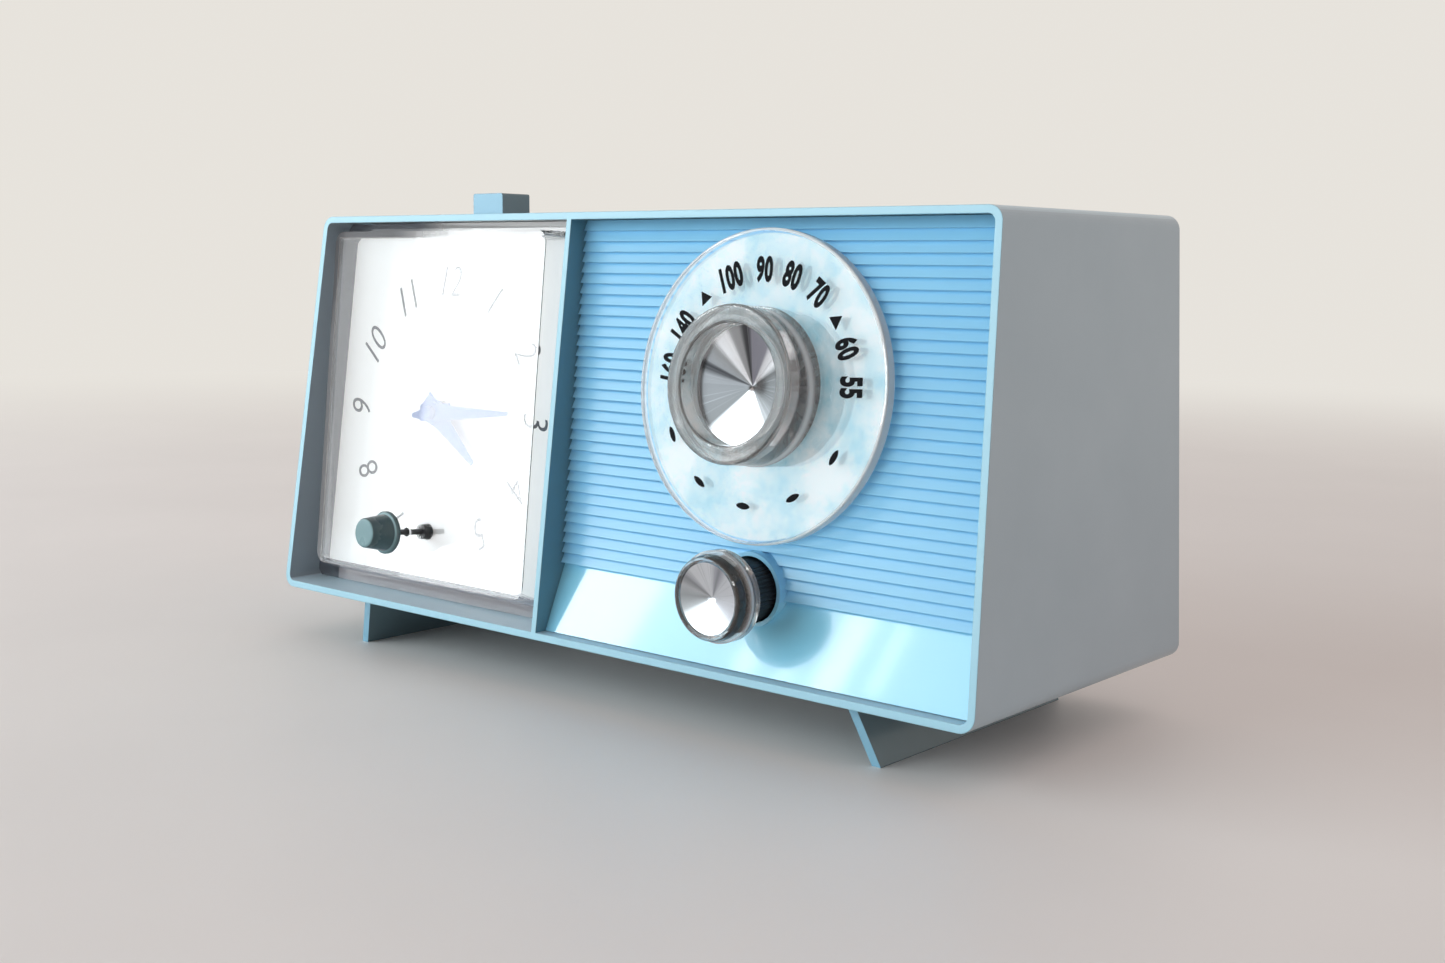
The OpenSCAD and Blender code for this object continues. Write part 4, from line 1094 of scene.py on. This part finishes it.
class LampUse(Enum):
    """What a lamp does."""

    ALL = "lights and shines"
    SHINE = "shines in glossy surfaces only"


class Reach(Enum):
    """What a lamp falls on: whether it takes in or leaves out the named objects."""

    ALL = ("EXCLUDE", ())
    CRYSTAL = ("INCLUDE", ("clock_crystal",))
    NOT_CRYSTAL = ("EXCLUDE", ("clock_crystal",))
    NOT_FLOOR = ("EXCLUDE", ("clock_crystal", "floor"))


GLARE = (0.95, 0.98, 1.0)


@dataclass(frozen=True)
class Lamp:
    """A soft rectangular lamp that faces the radio.

    Attributes:
        name: Name of the lamp.
        bearing: Degrees from the radio's left round to its front.
        distance: Distance from the radio along the floor.
        height: Height of its middle.
        size: Its width and height.
        radiance: How bright it looks; 1 is a white wall in full light.
        reach: What it falls on.
        use: What it does.
        colour: Colour of its light.
    """

    name: str
    bearing: float
    distance: float
    height: float
    size: tuple[float, float]
    radiance: float
    reach: Reach = Reach.ALL
    use: LampUse = LampUse.SHINE
    colour: Colour = GLARE

    def hang(self) -> None:
        """Puts the lamp in the scene."""
        data = bpy.data.lights.new(self.name, "AREA")
        data.shape = "RECTANGLE"
        data.size, data.size_y = self.size
        data.energy = self.radiance * math.pi * self.size[0] * self.size[1]
        data.color = self.colour
        lamp = bpy.data.objects.new(self.name, data)
        angle = math.radians(self.bearing)
        lamp.location = (-self.distance * math.cos(angle), -self.distance * math.sin(angle), self.height)
        aim = Vector((0.0, 0.0, self.height))
        lamp.rotation_euler = (aim - lamp.location).to_track_quat("-Z", "Y").to_euler()
        lamp.visible_diffuse = self.use is LampUse.ALL
        lamp.visible_camera = False
        state, names = self.reach.value
        if names:
            group = bpy.data.collections.new(self.name + "_reach")
            lamp.light_linking.receiver_collection = group
            for name in names:
                group.objects.link(bpy.data.objects[name])
            for entry in group.collection_objects:
                entry.light_linking.link_state = state
        bpy.context.scene.collection.objects.link(lamp)


DAYLIGHT = (0.80, 0.94, 1.0)
LAMPS = (
    Lamp("key", 50.0, 1.7, 0.62, (2.4, 1.5), 3.3, Reach.NOT_CRYSTAL, LampUse.ALL, DAYLIGHT),
    Lamp("window_high", 42.2, 1.5, 0.63, (0.20, 0.25), 9.5, Reach.NOT_CRYSTAL),
    Lamp("pane_first", 51.3, 1.5, 0.70, (0.022, 0.20), 12.0),
    Lamp("pane_second", 53.2, 1.5, 0.70, (0.020, 0.20), 9.0),
    Lamp("pane_third", 55.2, 1.5, 0.70, (0.036, 0.20), 13.0),
    Lamp("pane_fourth", 57.25, 1.5, 0.72, (0.014, 0.12), 12.0),
    Lamp("edge_light", 112.0, 1.2, 0.30, (0.08, 0.60), 16.0, Reach.NOT_FLOOR),
    Lamp("glare_left", 40.1, 0.45, 0.1085, (0.158, 0.213), 1.3, Reach.CRYSTAL),
    Lamp("glare_second", 41.8, 0.45, 0.1085, (0.131, 0.213), 0.7, Reach.CRYSTAL),
    Lamp("glare_third", 42.5, 0.45, 0.1085, (0.12, 0.213), 1.6, Reach.CRYSTAL),
    Lamp("glare_right", 43.6, 0.45, 0.1085, (0.103, 0.213), 3.3, Reach.CRYSTAL),
)


@dataclass
class Stage:
    """Floor, soft light and camera.

    Attributes:
        floor_half: Half the floor's side.
        floor_colour: Colour of the floor.
        mottle: How much lighter its light patches are.
        fade: Distances between which it fades into the backdrop.
        backdrop: Colour seen past the floor.
        room: Colour of the light from the lit side of the room.
        room_high: Level of the light from the lit side.
        room_low: Level of the light from the dim side.
        lit_side: Direction of the lit side.
        lit_from: How far towards the lit side the level starts to rise and is full.
        card: Place of a small dark card whose mirror image keeps the glare off the set shaft's collar.
        card_r: Radius of that card.
        eye: Camera's place.
        yaw: Camera's turn from the radio's depth, in radians.
        pitch: How far it looks down, in radians.
        roll: Its roll, in radians.
        sensor: Width of its sensor in millimetres.
        focal: Focal length in pixels of the picture's width.
        picture_w: Width of the picture in pixels.
    """

    floor_half: float = 4.0
    floor_colour: Colour = (0.84, 0.80, 0.77)
    mottle: float = 1.04
    fade: tuple[float, float] = (0.45, 1.6)
    backdrop: Colour = (0.80, 0.77, 0.72)
    room: Colour = (1.0, 0.89, 0.87)
    room_high: float = 0.78
    room_low: float = 0.15
    lit_side: Place = (0.5, 0.8, 0.33)
    lit_from: tuple[float, float] = (-0.4, 0.6)
    card: Place = (-0.31449, -0.24820, 0.03414)
    card_r: float = 4.25 * MM
    eye: Place = (0.35999, -0.40082, 0.13363)
    yaw: float = -0.7062
    pitch: float = 0.1295
    roll: float = -0.0093
    sensor: float = 36.0
    focal: float = 1660.5
    picture_w: float = 1445.0

    def floor(self) -> None:
        """Lays the floor, whose far part fades into the backdrop."""
        h = self.floor_half
        corners = [Vector((x, y, 0.0)) for x, y in ((-h, -h), (h, -h), (h, h), (-h, h))]
        piece = mesh_piece("floor", corners, [(0, 1, 2, 3)])
        sheet = NodeSheet("pale_floor")
        light = tuple(self.mottle * c for c in self.floor_colour)
        patches = sheet.ramp(sheet.noise(6.0), [(0.3, self.floor_colour), (0.7, light)])
        surface = sheet.principled(Roughness=0.5, Base_Color=patches)
        far = sheet.vectors("LENGTH", sheet.coordinate("Object"))
        glow = sheet.add("Emission", {"Color": self.backdrop})
        sheet.mix(sheet.step(far, *self.fade), surface, glow.outputs["Emission"])
        piece.data.materials.append(sheet.owner)

    def glare_card(self) -> None:
        """Hangs the dark card, which only mirror images show."""
        out = Vector((self.card[0], self.card[1], 0.0))
        turn = out.to_track_quat("Z", "Y").to_matrix().to_4x4()
        edge = [Vector((self.card_r * math.cos(a), self.card_r * math.sin(a), 0.0)) for a in turn_angles(24)]
        corners = [Vector(self.card) + turn @ corner for corner in edge]
        piece = mesh_piece("glare_card", corners, [tuple(range(len(corners)))])
        sheet = NodeSheet("card_black")
        sheet.principled(Base_Color=(0.0, 0.0, 0.0), Specular_IOR_Level=0.0)
        piece.data.materials.append(sheet.owner)
        piece.visible_camera = False
        piece.visible_diffuse = False
        piece.visible_transmission = False

    def world(self) -> None:
        """Fills the room with soft light and shows the backdrop to the camera."""
        sheet = NodeSheet("room", world=True)
        bpy.context.scene.world = sheet.owner
        towards = sheet.vectors("DOT_PRODUCT", sheet.coordinate("Generated"), self.lit_side)
        level = sheet.spread(sheet.step(towards, *self.lit_from), self.room_low, self.room_high)
        light = sheet.add("Background", {"Color": self.room, "Strength": level})
        seen = sheet.add("Background", {"Color": self.backdrop})
        path = sheet.add("LightPath")
        share = path.outputs["Is Camera Ray"]
        for ray in ("Is Transmission Ray", "Is Glossy Ray"):
            share = sheet.maths("MAXIMUM", share, path.outputs[ray])
        sheet.mix(share, light.outputs["Background"], seen.outputs["Background"])

    def camera(self) -> None:
        """Sets the camera at the photograph's angle."""
        forward = Vector((math.sin(self.yaw) * math.cos(self.pitch),
                          math.cos(self.yaw) * math.cos(self.pitch), -math.sin(self.pitch)))
        right = Vector((math.cos(self.yaw), -math.sin(self.yaw), 0.0))
        down = forward.cross(right)
        side = right * math.cos(self.roll) + down * math.sin(self.roll)
        drop = down * math.cos(self.roll) - right * math.sin(self.roll)
        data = bpy.data.cameras.new("camera")
        data.sensor_width = self.sensor
        data.lens = self.sensor * self.focal / self.picture_w
        data.clip_start = 0.01
        cam = bpy.data.objects.new("camera", data)
        turn = Matrix((side, -drop, -forward)).transposed().to_4x4()
        cam.matrix_world = Matrix.Translation(self.eye) @ turn
        bpy.context.scene.collection.objects.link(cam)
        bpy.context.scene.camera = cam

    def set_up(self) -> None:
        """Builds the whole stage."""
        self.floor()
        self.glare_card()
        self.world()
        for lamp in LAMPS:
            lamp.hang()
            LOG.info("hung %s", lamp.name)
        self.camera()
        bpy.context.scene.view_settings.view_transform = "Standard"


def main() -> None:
    """Builds the classes in order."""
    logging.basicConfig(level=logging.INFO)
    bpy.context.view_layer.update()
    shop = Paintshop()
    shop.coat_nodes()
    TuningDial().dress(shop)
    ClockFace().dress(shop)
    SnoozeSpring().dress(shop)
    Stage().set_up()


if __name__ == "__main__":
    main()
